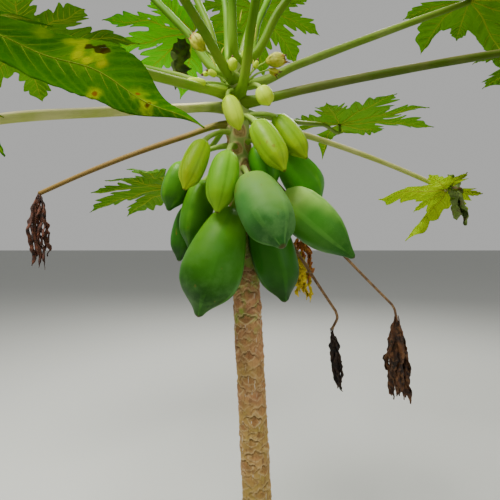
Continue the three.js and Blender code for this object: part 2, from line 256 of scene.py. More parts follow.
def tube(line, radii, sides, wobble=1.0):
    """Points and faces of a closed skin round a line. wobble gives a factor for each ring and side."""
    line = np.asarray(line, float)
    tangents = unit(np.gradient(line, axis=0))
    side = np.cross(tangents[0], (0, 0, 1) if abs(tangents[0][2]) < 0.9 else (1, 0, 0))
    angles = ring_angles(sides)
    rings = []
    factors = np.broadcast_to(wobble, (len(line), sides))
    for centre, tangent, radius, factor in zip(line, tangents, radii, factors):
        side = unit(side - tangent * side.dot(tangent))
        across = np.cross(tangent, side)
        out = np.cos(angles)[:, None] * side + np.sin(angles)[:, None] * across
        rings.append(centre + out * (radius * factor)[:, None])
    k, n = np.arange(sides), np.arange(len(line) - 1)[:, None] * sides
    a, b = n + k, n + (k + 1) % sides
    faces = np.stack([a, b, b + sides, a + sides], axis=-1).reshape(-1, 4).tolist()
    last = (len(line) - 1) * sides
    return np.vstack(rings), faces + [list(range(sides))[::-1], list(range(last, last + sides))]


test_line = smooth_line([(0, 0, 0), (0, 0, 1), (1, 0, 1)], 4)
print("a test line:", test_line.round(2).tolist())
print("a tube round it:", len(tube(test_line, [0.1] * 4, 6)[1]), "faces")


# %% Shapes and pieces
class Shape:
    """Parts gathered into one mesh. Each part has a finish, and may carry numbers at its points."""

    def __init__(self):
        self.points, self.faces, self.finish, self.values, self.count = [], [], [], {}, 0

    def add(self, points, faces, finish=0, **values):
        for key in set(values) | set(self.values):
            row = self.values.setdefault(key, [np.zeros(self.count)] if self.count else [])
            row.append(np.broadcast_to(values.get(key, 0.0), len(points)).astype(float))
        self.faces += [[i + self.count for i in face] for face in faces]
        self.finish += [finish] * len(faces)
        self.points.append(points)
        self.count += len(points)

    def piece(self, name, finishes, nodes=()):
        """The shape as a piece that rides on the tree and stands for these CAD nodes."""
        mesh = bpy.data.meshes.new(name)
        mesh.from_pydata(np.vstack(self.points).tolist(), [], self.faces)
        for finish in finishes:
            mesh.materials.append(finish)
        mesh.polygons.foreach_set("material_index", self.finish)
        mesh.polygons.foreach_set("use_smooth", [True] * len(self.faces))
        for key, rows in self.values.items():
            mesh.attributes.new(key, "FLOAT", "POINT").data.foreach_set("value", np.concatenate(rows))
        obj = bpy.data.objects.new(name, mesh)
        bpy.context.scene.collection.objects.link(obj)
        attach(obj, "root")
        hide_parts(*nodes)


print("a shape gathers", list(vars(Shape())))


# %% Ripples, soft steps and bells
def ripple(points, length, seed):
    """A smooth wandering number for each point, about -1 to 1, with bumps of that length."""
    dice = np.random.default_rng(seed)
    total = np.zeros(len(points))
    for _ in range(6):
        way = dice.normal(size=points.shape[1])
        way *= 2 * math.pi / length / np.linalg.norm(way) * dice.uniform(0.6, 1.5)
        total += np.sin(points @ way + dice.uniform(0, 2 * math.pi))
    return total / 3


def soft(x, low, high):
    """0 below low, 1 above high and smooth in between."""
    t = np.clip((np.asarray(x, float) - low) / (high - low), 0, 1)
    return t * t * (3 - 2 * t)


def bell(x, middle, width):
    return np.exp(-(((x - middle) / width) ** 2))


print("a test ripple:", ripple(np.zeros((1, 3)), 1.0, 0).round(2))

# %% [markdown]
# The stem is one tube with relief. It leans, it thins towards its growing tip, and its foot flares. Fallen
# leaves leave scars in a spiral, each turned from the last by the golden angle, which is what spreads
# leaves evenly round a stem. A scar is a plate as wide as the leaf stalk was: arched at the top, pointed
# below, with a crease over it and a pale lip round it. All of that is real displacement of the mesh,
# because bump alone would leave the outline of the stem smooth. The plates, lips and creases are also
# stored as numbers, so that the finish can colour them in the same places.

# %% Stem sizes
UP = np.array([0.0, 0, 1])
LEAN = -0.05
STEM_HEIGHTS = [0, 0.035, 0.09, 0.22, 0.48, 0.76, 0.94, 1.1, 1.24, 1.34, 1.41, 1.446, 1.456]
STEM_RADII = [0.060, 0.049, 0.042, 0.0385, 0.0375, 0.0365, 0.0345, 0.032, 0.029, 0.0265, 0.021, 0.011, 0.002]
STEM_SIDES, STEM_RINGS = 112, 480
GOLDEN_ANGLE = math.radians(137.508)
SCAR_WIDE, SCAR_TALL = 0.0195, 0.0135  # half sizes
SCAR_FIRST, SCAR_RISE = 0.0208, 0.0078  # height of the lowest scar, and from one to the next up the stem
SCAR_FIRST_TURN = math.radians(211)
SCAR_RELIEF, LIP_RELIEF, CREASE_RELIEF = 0.0011, 0.0025, 0.0028
GREEN_FROM, GREEN_TO = 0.76, 1.10  # heights over which the bark turns green
SCARS_OLD_TO = 1.085  # the height above which the scars are round and few
OLD_SCARS = int((SCARS_OLD_TO - SCAR_FIRST) / SCAR_RISE)
ROUND_SCARS = [  # turn, height, half width, half height
    (300, 1.138, 0.0145, 0.0190),
    (257, 1.180, 0.0155, 0.0180),
    (278, 1.226, 0.0190, 0.0175),
    (190, 1.206, 0.0130, 0.0190),
    (322, 1.190, 0.0140, 0.0190),
    (225, 1.125, 0.0120, 0.0150),
    (150, 1.140, 0.0130, 0.0160),
    (20, 1.150, 0.0130, 0.0160),
    (80, 1.180, 0.0125, 0.0170),
    (125, 1.225, 0.0130, 0.0160),
    (40, 1.238, 0.0125, 0.0150),
    (232, 1.252, 0.0130, 0.0150),
]
BARK_RIPPLES = [  # length, stretch, height, seed
    (0.05, (1, 1, 1), 0.0011, 1),
    (0.011, (1, 1, 0.25), 0.0003, 2),
    (0.011, (0.35, 0.35, 1.5), 0.0006, 4),
]


def stem_centre(height):
    return np.array([LEAN * height, 0, height])


def stem_radius(height):
    return np.interp(height, STEM_HEIGHTS, STEM_RADII)


def turn_between(turn, other):
    """From one angle to another the short way round."""
    return (turn - other + math.pi) % (2 * math.pi) - math.pi


print("stem", STEM_HEIGHTS[-1], "m high, its top at", stem_centre(STEM_HEIGHTS[-1]).round(3))


# %% Scars
def scar_marks(turn, height, radius):
    """Plate, lip and crease of all scars on a grid of points round the stem."""
    plate, lip, crease = (np.zeros(height.shape) for _ in range(3))
    dice = np.random.default_rng(3)
    for k in range(OLD_SCARS):
        at = SCAR_FIRST + k * SCAR_RISE + dice.uniform(-0.005, 0.005)
        wide, tall = np.array([SCAR_WIDE, SCAR_TALL]) * dice.uniform(0.75, 1.15, 2)
        fresh = dice.uniform(0.5, 1.0)  # old scars are half grown over
        away = turn_between(turn, SCAR_FIRST_TURN + k * GOLDEN_ANGLE - dice.uniform(-0.2, 0.2))
        x = away * radius / wide
        y = (height - at) / tall - x * dice.uniform(-0.15, 0.15)
        top = 0.70 - 0.50 * np.abs(x) ** 1.3 + 0.16 * np.cos(x * 5.5)
        low = -((1 - np.clip(np.abs(x), 0, 1)) ** 0.75)
        inside = np.minimum(np.minimum(top - y, y - low), (1 - np.abs(x)) * 1.2)
        wing = soft(np.abs(x), 2.0, 1.1) * fresh
        arch, ledge = bell(top - y, -0.10, 0.13) * wing, bell(top - y, -0.40, 0.17) * wing
        plate = np.maximum(plate, soft(inside, 0.02, 0.20) * fresh)
        lip = np.maximum(lip, bell(inside, 0, 0.15) * soft(y, 0.9, -0.2) * fresh)
        lip = np.maximum(lip * (1 - arch), ledge)
        crease = np.maximum(crease, arch)
    for scar_turn, at, wide, tall in ROUND_SCARS:
        away = turn_between(turn, math.radians(scar_turn))
        inside = 1 - np.hypot(away * radius / wide, (height - at) / tall)
        around = soft(inside, 0.1, -0.2)
        plate = np.maximum(plate * soft(inside, 0.1, -0.3), soft(inside, 0.02, 0.14))
        lip = np.maximum(lip * around, bell(inside, 0, 0.13))
        rings = bell(inside, 0.26, 0.07) + 0.7 * bell(inside, 0.62, 0.09)
        crease = np.maximum(crease * around, rings * 0.45)
    return plate, lip, crease


print(OLD_SCARS, "old scars and", len(ROUND_SCARS), "round ones")

# %% Stem mesh
heights = np.linspace(0, STEM_HEIGHTS[-1], STEM_RINGS)[:, None]
turns = np.linspace(0, 2 * math.pi, STEM_SIDES, endpoint=False)[None, :]
turns, heights = turns + 0 * heights, heights + 0 * turns
radius = stem_radius(heights)
around = np.stack([np.cos(turns) * radius, np.sin(turns) * radius, heights], axis=-1).reshape(-1, 3)
# the outlines of the scars wander a little, in slow and in quick ripples
shift_turn = (ripple(around, 0.035, 11) * 0.05 + ripple(around, 0.012, 12) * 0.025).reshape(turns.shape)
shift_height = (ripple(around, 0.030, 13) * 0.0024 + ripple(around, 0.010, 14) * 0.0009).reshape(turns.shape)
plate, lip, crease = scar_marks(turns + shift_turn, heights + shift_height, radius)
rough = sum(ripple(around * stretch, length, seed) * high for length, stretch, high, seed in BARK_RIPPLES)
rough = rough + ripple(around, 0.026, 5) * 0.0022 * soft(around[:, 2], 1.02, 1.12)  # lumps among the fruit
relief = plate * SCAR_RELIEF + lip * LIP_RELIEF - crease * CREASE_RELIEF + rough.reshape(radius.shape)
radius = radius + relief * soft(heights, 0, 0.012) * soft(heights, 1.45, 1.40)  # none at foot and tip
stem_grid = [np.cos(turns) * radius + LEAN * heights, np.sin(turns) * radius, heights]
_, stem_faces = tube(np.outer(heights[:, 0], UP), radius[:, 0], STEM_SIDES)
stem = Shape()
stem.add(np.stack(stem_grid, axis=-1).reshape(-1, 3), stem_faces,
         plate=plate.ravel(), lip=lip.ravel(), crease=crease.ravel())
print("stem faces", len(stem_faces))

# %% [markdown]
# The bark is tan to pinkish brown, paler on the lips of the scars, with short white streaks where it has
# split, and the creases over the scars are darkened with painted shade. Higher up, where it is young, green
# shows between the scars, and among the fruit the stem is grey-green and only the scars are brown, laid
# paler there as painted light against the shade of the fruit and crown. The height is read from the
# point's own place, so one finish does for the whole stem.

# %% Stem finish
bark = Finish("stem_bark", "c69264")
height_up = bark.part(bark.place(), "Z")
bark.lay("a87654", bark.patches(34, 5, 0.38, 0.62))
ochre = bark.mix("bc9a4c", "9e943c", bark.noise(40, 3))
bark.lay(ochre, bark.step(bark.noise(8, 3) - height_up * 0.5, 0.12, 0.42) * 0.75)
fibre = bark.noise(240, 3, (1, 1, 0.12))
bark.lay("7c5836", bark.step(fibre, 0.50, 0.72) * 0.6)
dirt = bark.patches(85, 4, 0.52, 0.66)
bark.lay("7c5a3e", dirt * 0.5)
green_share = bark.step(height_up, GREEN_FROM, GREEN_TO)
moss = bark.mix("84a024", "b0bc74", bark.noise(60, 3) * 0.5 + green_share * 0.5)
mossy = bark.step(bark.noise(26, 3) + green_share * 0.5, 0.50, 0.66) * bark.step(height_up, 0.60, 0.80)
bark.lay(moss, mossy * (1 - bark.value("plate") * 0.9))
scar_face = bark.mix("a87444", "7c5030", bark.patches(120, 3, 0.4, 0.6))
# painted light: higher up, among the fruit, the scars are laid paler against the shade of fruit and crown
scar_face = bark.mix(scar_face, "ccaa70", green_share * 0.75)
bark.lay(scar_face, bark.value("plate") * (green_share * 0.45 + 0.5))
bark.lay("dcc08c", bark.value("lip") * 0.72)
bark.lay("d8cfb8", bark.patches(150, 1, 0.68, 0.75, stretch=(1, 1, 0.14)) * (1 - green_share) * 0.7)
# painted shade: the creases over the old scars and the rings of the round scars are darkened
bark.lay("462c16", bark.value("crease") * 0.85)
grain = bark.noise(420, 4, (1, 1, 0.35)) + fibre
bark_finish = bark.surface(0.85, bark.bump(grain + dirt * 0.4, 0.6, 0.0015), shine=0.3)
stem.piece("trunk_bark", [bark_finish], ["trunk"])
print("bark finish:", len(bark.tree.nodes), "nodes")

# %% [markdown]
# The planting list says where every leaf is. base and turn give the point where its stalk leaves the
# stem; way, reach and rise lead from there to the middle of the blade; pitch and fall tilt the blade and
# heading turns it. It repeats the sizes of the CAD solids, in metres, and adds what only the looks need:
# which finish the blade has, how deep its cuts go and how many teeth a lobe has on each side.

# %% What is said of a leaf
LEAF_SIZES = "name base turn way reach rise radius size pitch droop sag".split()
USUAL_LEAF = dict(lobes=[0.5, 0.7, 0.84, 0.95, 1, 0.95, 0.84, 0.7, 0.5], step=36, shade="green",
                  stalk="olive", teeth=3, cut=0.55, fold=0.16, holes=(), wide=1, tip=(0.34, 0.9), mood=1,
                  turned={}, rows=44, veins=0, curled=(), hook=True)
YOUNG_LEAF = dict(lobes=[0.46, 0.7, 0.9, 1, 0.9, 0.7, 0.46], step=46, shade="bright", stalk="lime")


def lobe_turn(bend=0.0, drop=0.0, twist=0.0, lean=0.0, arch=0.0):
    """What one lobe does by itself: bends or leans sideways, drops, twists, or arches in its middle."""
    return np.array([bend, drop, twist, lean, arch])


def leaf(*sizes, **looks):
    """One leaf: its sizes in the order of LEAF_SIZES, and how it differs from the usual leaf."""
    facts = dict(zip(LEAF_SIZES, sizes))
    return {**USUAL_LEAF, **facts, "fall": facts["way"], "heading": facts["way"], **looks}


print(len(LEAF_SIZES), "sizes and", len(USUAL_LEAF), "looks")

# %% Planting list of the leaves
LEAVES = [
    leaf("left_near_low", 1.290, 200, 227, 0.720, -0.192, 0.012, 0.350, 18, 0.2, -0.008, stalk="tan"),
    leaf("left_near_high", 1.320, 224, 240, 0.720, -0.110, 0.012, 0.378, 36.4, 0.14, 0, fall=285.9,
         heading=243.9, lobes=[0.4, 0.55, 0.7, 0.75, 0.8, 0.8, 0.85, 1, 0.42], shade="spotted",
         stalk="light", teeth=2, cut=0.22, fold=0.05, wide=0.665, tip=(0.176, 0.45), mood=0.3, rows=84,
         veins=13, holes=((-0.0975, 0.208, 0.0046),),
         turned={7: lobe_turn(bend=-0.30, drop=-0.05, twist=0.52, lean=0.14, arch=-0.021)}),
    leaf("left_far", 1.352, 160, 163, 0.700, 0.212, 0.0085, 0.370, 12, 0.18, -0.006, heading=40,
         lobes=[0.85, 0.85, 0.84, 0.95, 1, 0.95, 0.84, 0.85, 0.95]),
    leaf("front_left_rising", 1.362, 250, 238, 0.600, 0.300, 0.012, 0.350, 10, 0.2, -0.020),
    leaf("back_left_rising", 1.408, 140, 146, 0.330, 0.555, 0.0105, 0.290, 8, 0.16, -0.020, shade="bright"),
    leaf("left_rising", 1.386, 182, 176, 0.490, 0.455, 0.011, 0.320, 10, 0.2, -0.015, stalk="lime"),
    leaf("front_young", 1.418, 268, 268, 0.330, 0.540, 0.011, 0.250, 8, 0.16, -0.015, **YOUNG_LEAF),
    leaf("back_young", 1.430, 112, 118, 0.190, 0.640, 0.010, 0.210, 6, 0.14, -0.010, **YOUNG_LEAF),
    leaf("front_right_rising", 1.325, 288, 286, 0.483, 0.470, 0.012, 0.310, 10, 0.18, -0.015),
    leaf("right_rising", 1.415, 345, 347, 0.440, 0.500, 0.0115, 0.300, 8, 0.18, -0.010),
    leaf("back_right_rising", 1.426, 44, 52, 0.390, 0.600, 0.0105, 0.280, 8, 0.18, -0.010, **YOUNG_LEAF),
    leaf("right_high", 1.358, 4, 1, 0.620, 0.222, 0.012, 0.330, 14, 0.2, -0.003, stalk="pale", hook=False,
         teeth=2, lobes=[0.5, 0.7, 0.84, 0.95, 1, 0.95, 0.5, 0.70, 0.52], cut=0.36, wide=0.85, mood=0.4,
         turned={7: lobe_turn(lean=-0.24), 8: lobe_turn(lean=-0.1)}),
    leaf("right_middle", 1.306, 338, 344, 0.730, 0.064, 0.012, 0.350, 12, 0.2, -0.008, stalk="tan_top",
         hook=False),
    leaf("right_yellow", 1.266, 24, 7, 0.596, -0.182, 0.009, 0.205, 148, -0.3, -0.016, fall=270,
         heading=225, lobes=[0.46, 0.6, 1.0, 0.5, 0.94, 0.6, 0.46], step=46, shade="yellow", stalk="tan",
         teeth=2, cut=0.5, wide=0.85, hook=False,
         turned={2: lobe_turn(lean=-0.06), 4: lobe_turn(lean=-0.32)},
         curled=((0.008, 0, 0.046, 0.020, -0.01, -0.085, 0.034, 1.9),
                 (0.03, 0.01, 0.03, 0.055, 0, -0.10, 0.03, 2.4))),
    leaf("right_back", 1.292, 50, 49, 0.553, 0.076, 0.0085, 0.360, 5, 0.08, 0.010, fall=150, heading=322,
         lobes=[0.5, 0.72, 0.84, 0.95, 0.86, 0.96, 0.7, 0.4, 0.46], cut=0.72, wide=1.12, tip=(0.28, 0.8),
         mood=0.5, stalk="pale", turned={8: lobe_turn(drop=0.42, twist=0.3, arch=-0.12),
                                         6: lobe_turn(drop=-0.1), 7: lobe_turn(drop=-0.1)}),
    # this leaf stands against the light, and its bright finish is painted backlight
    leaf("back_left_bright", 1.340, 110, 112, 0.454, 0.360, 0.0105, 0.380, 6, 0.16, -0.010, heading=140,
         shade="bright", holes=((0.02, 0.10, 0.007), (0.04, 0.17, 0.006), (-0.03, 0.15, 0.005),
                                (0.10, 0.14, 0.006), (0.14, 0.05, 0.005), (0.09, 0.20, 0.004)),
         curled=((-0.040, -0.02, -0.03, -0.062, -0.03, -0.215, 0.054, 1.7),)),
    leaf("back_rising", 1.396, 84, 84, 0.540, 0.455, 0.011, 0.330, 12, 0.2, -0.010),
    leaf("back_left_low", 1.270, 122, 120, 0.540, -0.128, 0.0085, 0.365, 8.1, 0.12, 0.014, fall=98.6,
         heading=196.4, lobes=[0.5, 0.55, 0.98, 1.04, 0.78, 0.76, 1.04, 0.55, 0.5], cut=0.56, mood=0.3,
         turned={2: lobe_turn(lean=0.12), 6: lobe_turn(lean=-0.04)}),
]
print(len(LEAVES), "leaves")

# %% [markdown]
# A leaf stalk is a hollow tube that leaves the stem level, swells where it clasps it and thins towards
# the blade, where it bends up to meet the blade square. The line is a smooth curve through a handful of
# points. The stalks are lime at their foot and olive further out. The side that faces the sky, which the
# finish reads from the surface's own normal, is paler: painted sky light on all of them, over a tan that
# the older ones have of their own.

# %% Leaf stalks
STALK_START = 0.6  # stalks begin inside the stem, at this part of its radius,
STALK_LEAVES = 0.6  # and leave its skin level, this part of their own radius further out
STALK_TAPER, STALK_HOOK, STALK_SIDES, STALK_RINGS = 0.66, 0.018, 28, 90
BLADE_THICK, SEAT_GAP = 0.003, 0.0003  # of the CAD blade, which sets where its stalk ends
FOOT_SWELL, FOOT_REACH = 0.62, 0.032  # how much thicker the foot is, and how far that runs out
FLUTES, FLUTE_DEPTH = 7, 0.018
BOW_KNOTS = (0.22, 0.5, 0.78)  # where the bow of a stalk is measured out along it


def compass(degrees):
    return np.array([math.cos(math.radians(degrees)), math.sin(math.radians(degrees)), 0])


def inside_stem(base, turn):
    return stem_centre(base) + compass(turn) * stem_radius(base) * STALK_START


def blade_frame(leaf):
    """The middle of the blade and its axes: forward, side and normal."""
    hinge = Vector(np.cross(UP, compass(leaf["fall"])))
    tilt = np.array(Matrix.Rotation(math.radians(leaf["pitch"]), 3, hinge))
    forward = compass(leaf["heading"])
    centre = stem_centre(leaf["base"]) + compass(leaf["way"]) * leaf["reach"] + UP * leaf["rise"]
    return centre, tilt @ forward, tilt @ np.cross(UP, forward), tilt @ UP


def stalk_line(base, turn, radius, sag, end, last_way=None):
    """Out of the stem level, along with a slight bow, and up into the blade."""
    leaving = stem_centre(base) + compass(turn) * (stem_radius(base) + radius * STALK_LEAVES)
    knots = [inside_stem(base, turn), leaving]
    for part in BOW_KNOTS:
        knots.append(leaving + (end - leaving) * part - UP * sag * 4 * part * (1 - part))
    if last_way is not None:
        knots.append(end - last_way * STALK_HOOK)
    return smooth_line([*knots, end], STALK_RINGS)


def add_stalk(shape, line, radius, taper, finish=0, foot=FOOT_SWELL, seed=0):
    run = np.concatenate([[0], np.cumsum(np.linalg.norm(np.diff(line, axis=0), axis=1))])
    along = run / run[-1]
    radii = radius * (1 - (1 - taper) * along) * (1 + foot * np.exp(-run / FOOT_REACH))
    angles = ring_angles(STALK_SIDES)
    oval = 0.03 * np.cos(angles + seed)[None, :] * (1 - along)[:, None]
    wobble = 1 + FLUTE_DEPTH * np.cos(FLUTES * angles)[None, :] + oval
    wobble = wobble * (1 + 0.02 * np.sin(run * 40 + seed))[:, None]
    points, faces = tube(line, radii, STALK_SIDES, wobble)
    shape.add(points, faces, finish, along=np.repeat(along, STALK_SIDES))


lowest = min(LEAVES, key=lambda item: item["base"])
print("the lowest stalk,", lowest["name"], "starts at", inside_stem(lowest["base"], lowest["turn"]).round(3))

# %% [markdown]
# Young fruit stalks and leaf stalks share one family of finishes: a base colour at the foot, another
# further out, faint lengthwise lines and small corky specks. Only the colours differ, so a function makes
# each finish from its colours.


# %% Stalk finishes
def stalk_finish(name, foot, body, sky_side, sky_share, speck="6d6a3a"):
    made = Finish(name, foot)
    along = made.value("along")
    made.lay(body, made.step(along, 0.02, 0.28))
    made.lay(sky_side, made.patches(14, 3, 0.35, 0.7) * 0.35)
    # painted sky light: the side that faces the sky is laid paler, over the older stalks' own tan
    made.lay(sky_side, made.step(made.upward(), 0.25, 0.9) * made.step(along, 0.03, 0.2) * sky_share)
    specks = 1 - made.step(made.cells(170, "F1"), 0.10, 0.22)
    made.lay(speck, specks * 0.22)
    return made.surface(0.52, made.bump(made.noise(240, 3) + specks * 0.15, 0.2, 0.0003), shine=0.15)


# the third colour of each lies on the side that faces the sky: painted sky light, over the older stalks' own
# tan
STALK_FINISHES = {
    "olive": stalk_finish("stalk_olive", "6c9414", "4c7406", "7c862c", 0.45),
    "light": stalk_finish("stalk_light", "8cac24", "6c941c", "8c9440", 0.45),
    "lime": stalk_finish("stalk_lime", "70981c", "487404", "749c2c", 0.35),
    "tan": stalk_finish("stalk_tan", "6c8c1c", "a0a850", "d8cc9c", 0.95, "8a6c50"),
    "tan_top": stalk_finish("stalk_tan_top", "6c9420", "445c0a", "7c7440", 0.9, "6a5636"),
    "pale": stalk_finish("stalk_pale", "7ca030", "607c20", "8c9450", 0.9, "6a5636"),
    "fruit": stalk_finish("fruit_stalk", "94b04c", "86a83c", "a8bc64", 0.4),
}
print(len(STALK_FINISHES), "stalk finishes")

# %% Leaf stalks placed
for number, item in enumerate(LEAVES):
    centre, forward, side, normal = blade_frame(item)
    dip = item["radius"] * STALK_TAPER * max(item["droop"], 0) * 0.42  # the blade curves down over its stalk
    end = centre - normal * (BLADE_THICK + SEAT_GAP + dip)
    last_way = normal if item["hook"] else None
    line = stalk_line(item["base"], item["turn"], item["radius"], item["sag"], end, last_way)
    shape = Shape()
    add_stalk(shape, line, item["radius"], STALK_TAPER, seed=number)
    finishes = [STALK_FINISHES[item["stalk"]]]
    shape.piece("stalk_" + item["name"], finishes, ["petiole_" + item["name"]])
print(len(LEAVES), "stalks placed, the last", round(float(np.linalg.norm(line[-1] - line[0])), 3), "m long")

# %% [markdown]
# A papaya leaf is cut into seven to nine long lobes that spread from the end of the stalk, and each lobe is
# cut again into pointed teeth that lean forward along its side veins. That is also how the mesh is laid
# out. Rows run from a lobe's main vein out to its edge at the angle of the side veins, so the edge is a
# plain function of the place along the vein, teeth lean forward by themselves, and the side veins lie on
# rows of the mesh. Near the middle, the rows of two neighbouring lobes end on the line halfway between
# them, where their points meet and are merged, which makes the web that joins the lobes.

# %% Leaf outline
VEIN_ANGLE = math.radians(44)  # between a lobe's main vein and its side veins
SINUS = 0.42  # how far from the middle the cut between two lobes begins, as a part of the size
WEB_ROWS = 8
WEB_VEINS = (3, 5, 7)  # rows of the web that carry a side vein
COLUMNS = np.array([0, 0.18, 0.38, 0.58, 0.78, 0.93, 1])
LOBE_WIDE = 0.36  # reach of the longest tooth along its vein, as a part of the lobe's length
NECK = 0.08  # part of the lobe over which the web's edge turns into the lobe's own edge
TOOTH_BACK, TOOTH_FRONT = 0.62, 0.42  # how far a tooth reaches back and forward, in gaps between teeth
SMALL_TEETH, SMALL_DEPTH = 19, 0.10
TOOTHED_PART, FIRST_TOOTH = 0.78, 0.55  # of the free lobe, and of the gap between two teeth


def tooth_places(teeth, dice):
    """Where along the free part of a lobe its big teeth end, and how far apart they are."""
    pitch = TOOTHED_PART / teeth
    return (np.arange(teeth) + FIRST_TOOTH) * pitch + dice.uniform(-0.10, 0.10, teeth) * pitch, pitch


def edge_reach(t, at, pitch, cut, dice):
    """Reach of the edge, as a part of the whole, for each t from 0 at the cut to 1 at the lobe's tip."""
    peak = 1.2 * (1.0001 - t) ** 0.55 * (0.66 + 0.9 * t)
    rise = soft(t, at[-1] + pitch * 0.40, at[-1] + pitch * 0.62)
    for place in at:
        x = (t - place) / pitch
        near = np.where(x < 0, 1 + x / TOOTH_BACK, 1 - x / TOOTH_FRONT)
        rise = np.maximum(rise, np.clip(near, 0, 1) ** 0.75 * dice.uniform(0.82, 1.06))
    small = 1 + SMALL_DEPTH * np.abs(np.mod(t * SMALL_TEETH + dice.uniform(0, 1), 1) - 0.5)
    return peak * (1 - cut + cut * rise) * small


test = np.random.default_rng(0)
test_edge = edge_reach(np.linspace(0, 1, 6), *tooth_places(3, test), USUAL_LEAF["cut"], test)
print("edge of a test lobe:", test_edge.round(2))


# %% Web and side veins
def web_shape(leaf):
    """Where the web ends on a lobe's main vein, and how fast its edge moves out along a row."""
    half = math.radians(leaf["step"] / 2)
    end = SINUS * leaf["size"] * (math.cos(half) - math.sin(half) / math.tan(VEIN_ANGLE))
    return end, math.tan(half) / (math.sin(VEIN_ANGLE) - math.cos(VEIN_ANGLE) * math.tan(half))


def vein_gap(leaf, pitch):
    """From one side vein to the next, as a part of the free lobe: half a tooth, unless the leaf says."""
    return 0.9 / leaf["veins"] if leaf["veins"] else pitch / 2


print("the web of the first leaf ends", round(web_shape(LEAVES[0])[0], 3), "m from its middle")

# %% Half a lobe
QUILT = 0.0022  # height of the swell between two side veins


def half_lobe(leaf, lobe, way, at, pitch, mood, dice):
    """One side of a lobe as a grid of points in the blade's plane with heights, and its values."""
    web_end, grow = web_shape(leaf)
    last = len(leaf["lobes"]) - 1
    length = leaf["lobes"][lobe] * leaf["size"]
    free_length = length - web_end
    gap = vein_gap(leaf, pitch) * free_length
    t = np.linspace(0, 1, leaf["rows"])[1:]
    u = np.concatenate([np.linspace(0, web_end, WEB_ROWS), web_end + t * free_length])
    reach = edge_reach(t, at, pitch, leaf["cut"], dice) * LOBE_WIDE * leaf["wide"] * length
    blunt, swell = leaf["tip"]
    narrow = (blunt + swell * (1 - t)) * (1 - t) * free_length + 0.0004
    reach = (reach**-4 + narrow**-4) ** -0.25  # the smaller of the two, without a corner
    blend = soft(t, 0, NECK)
    reach = web_end * grow * (1 - blend) * (1 - t) + reach * blend
    reach = np.concatenate([u[:WEB_ROWS] * grow, reach])
    free = np.clip((u - web_end) / free_length, 0, 1)[:, None]
    if (lobe == 0 and way == -1) or (lobe == last and way == 1):
        reach = reach * (0.7 + 0.3 * soft(free[:, 0], 0, 0.25))  # nothing joins the blade's two outer sides
    turn = VEIN_ANGLE - 0.20 * soft(free, 0, 0.2) * COLUMNS
    out = reach[:, None] * COLUMNS
    along, aside = u[:, None] + out * np.cos(turn), out * np.sin(turn) * way
    bend, drop, twist, lean, arch = mood
    bent = aside + (bend * free**2 + lean * free) * length
    angle = math.radians((lobe - last / 2) * leaf["step"])
    x = along * math.cos(angle) - bent * math.sin(angle)
    y = along * math.sin(angle) + bent * math.cos(angle)
    dip = (drop * free - 4 * arch * (1 - free)) * free * length
    height = -leaf["droop"] * (x * x + y * y) / leaf["size"] - dip
    height += leaf["fold"] * np.abs(aside) * (1 - 0.7 * COLUMNS) + twist * aside * soft(free, -0.4, 0.5)
    quilt = np.cos(u[:, None] * 2 * math.pi / gap)
    height += QUILT * quilt * np.sin(COLUMNS * math.pi) * (0.35 if leaf["veins"] else 1)
    near = soft(bell(np.mod(u[:, None] / gap, 1), 0.5, 0.2), 0.2, 1)
    return np.stack([x, y, height], axis=-1), free[:, 0], near + 0 * x, COLUMNS + 0 * x


test_half = half_lobe(LEAVES[0], 4, 1, *tooth_places(3, test), lobe_turn(), test)[0]
print("half a lobe:", test_half.shape[:2], "points")


# %% Sheets of faces
def sheet(rows, columns, start=0, flipped=False):
    """The numbers of points that are laid out in rows, and the faces between them."""
    index = start + np.arange(rows * columns).reshape(rows, columns)
    a, b, c, d = index[:-1, :-1], index[1:, :-1], index[1:, 1:], index[:-1, 1:]
    return index, np.stack([a, d, c, b] if flipped else [a, b, c, d], axis=-1).reshape(-1, 4).tolist()


def closed_sheet(points, faces, thickness):
    """A sheet given two skins and a rim, so that it is a closed solid."""
    a, b, c = (points[[face[k] for face in faces]] for k in range(3))
    normals = np.cross(b - a, c - a)
    total = np.zeros_like(points)
    for k, face in enumerate(faces):
        total[face] += normals[k]
    total /= np.maximum(np.linalg.norm(total, axis=1), 1e-12)[:, None]
    count = len(points)
    edges = dict.fromkeys((i, j) for face in faces for i, j in zip(face, face[1:] + face[:1]))
    rim = [[j, i, i + count, j + count] for i, j in edges if (j, i) not in edges]
    under = [[i + count for i in face[::-1]] for face in faces]
    return np.vstack([points, points - total * thickness]), faces + under + rim


print("a sheet of 3 by 3 points:", len(sheet(3, 3)[1]), "faces")

# %% Whole blade
VEIN_RADIUS, SIDE_VEIN_RADIUS = 0.0027, 0.0013
WAVE_LENGTH, WAVE_HEIGHT = 0.16, 0.006  # the slow waves of a whole blade
MOOD_LOW, MOOD_HIGH = (-0.10, -0.05, -0.15, 0, 0), (0.10, 0.10, 0.15, 0, 0)  # in the order of lobe_turn


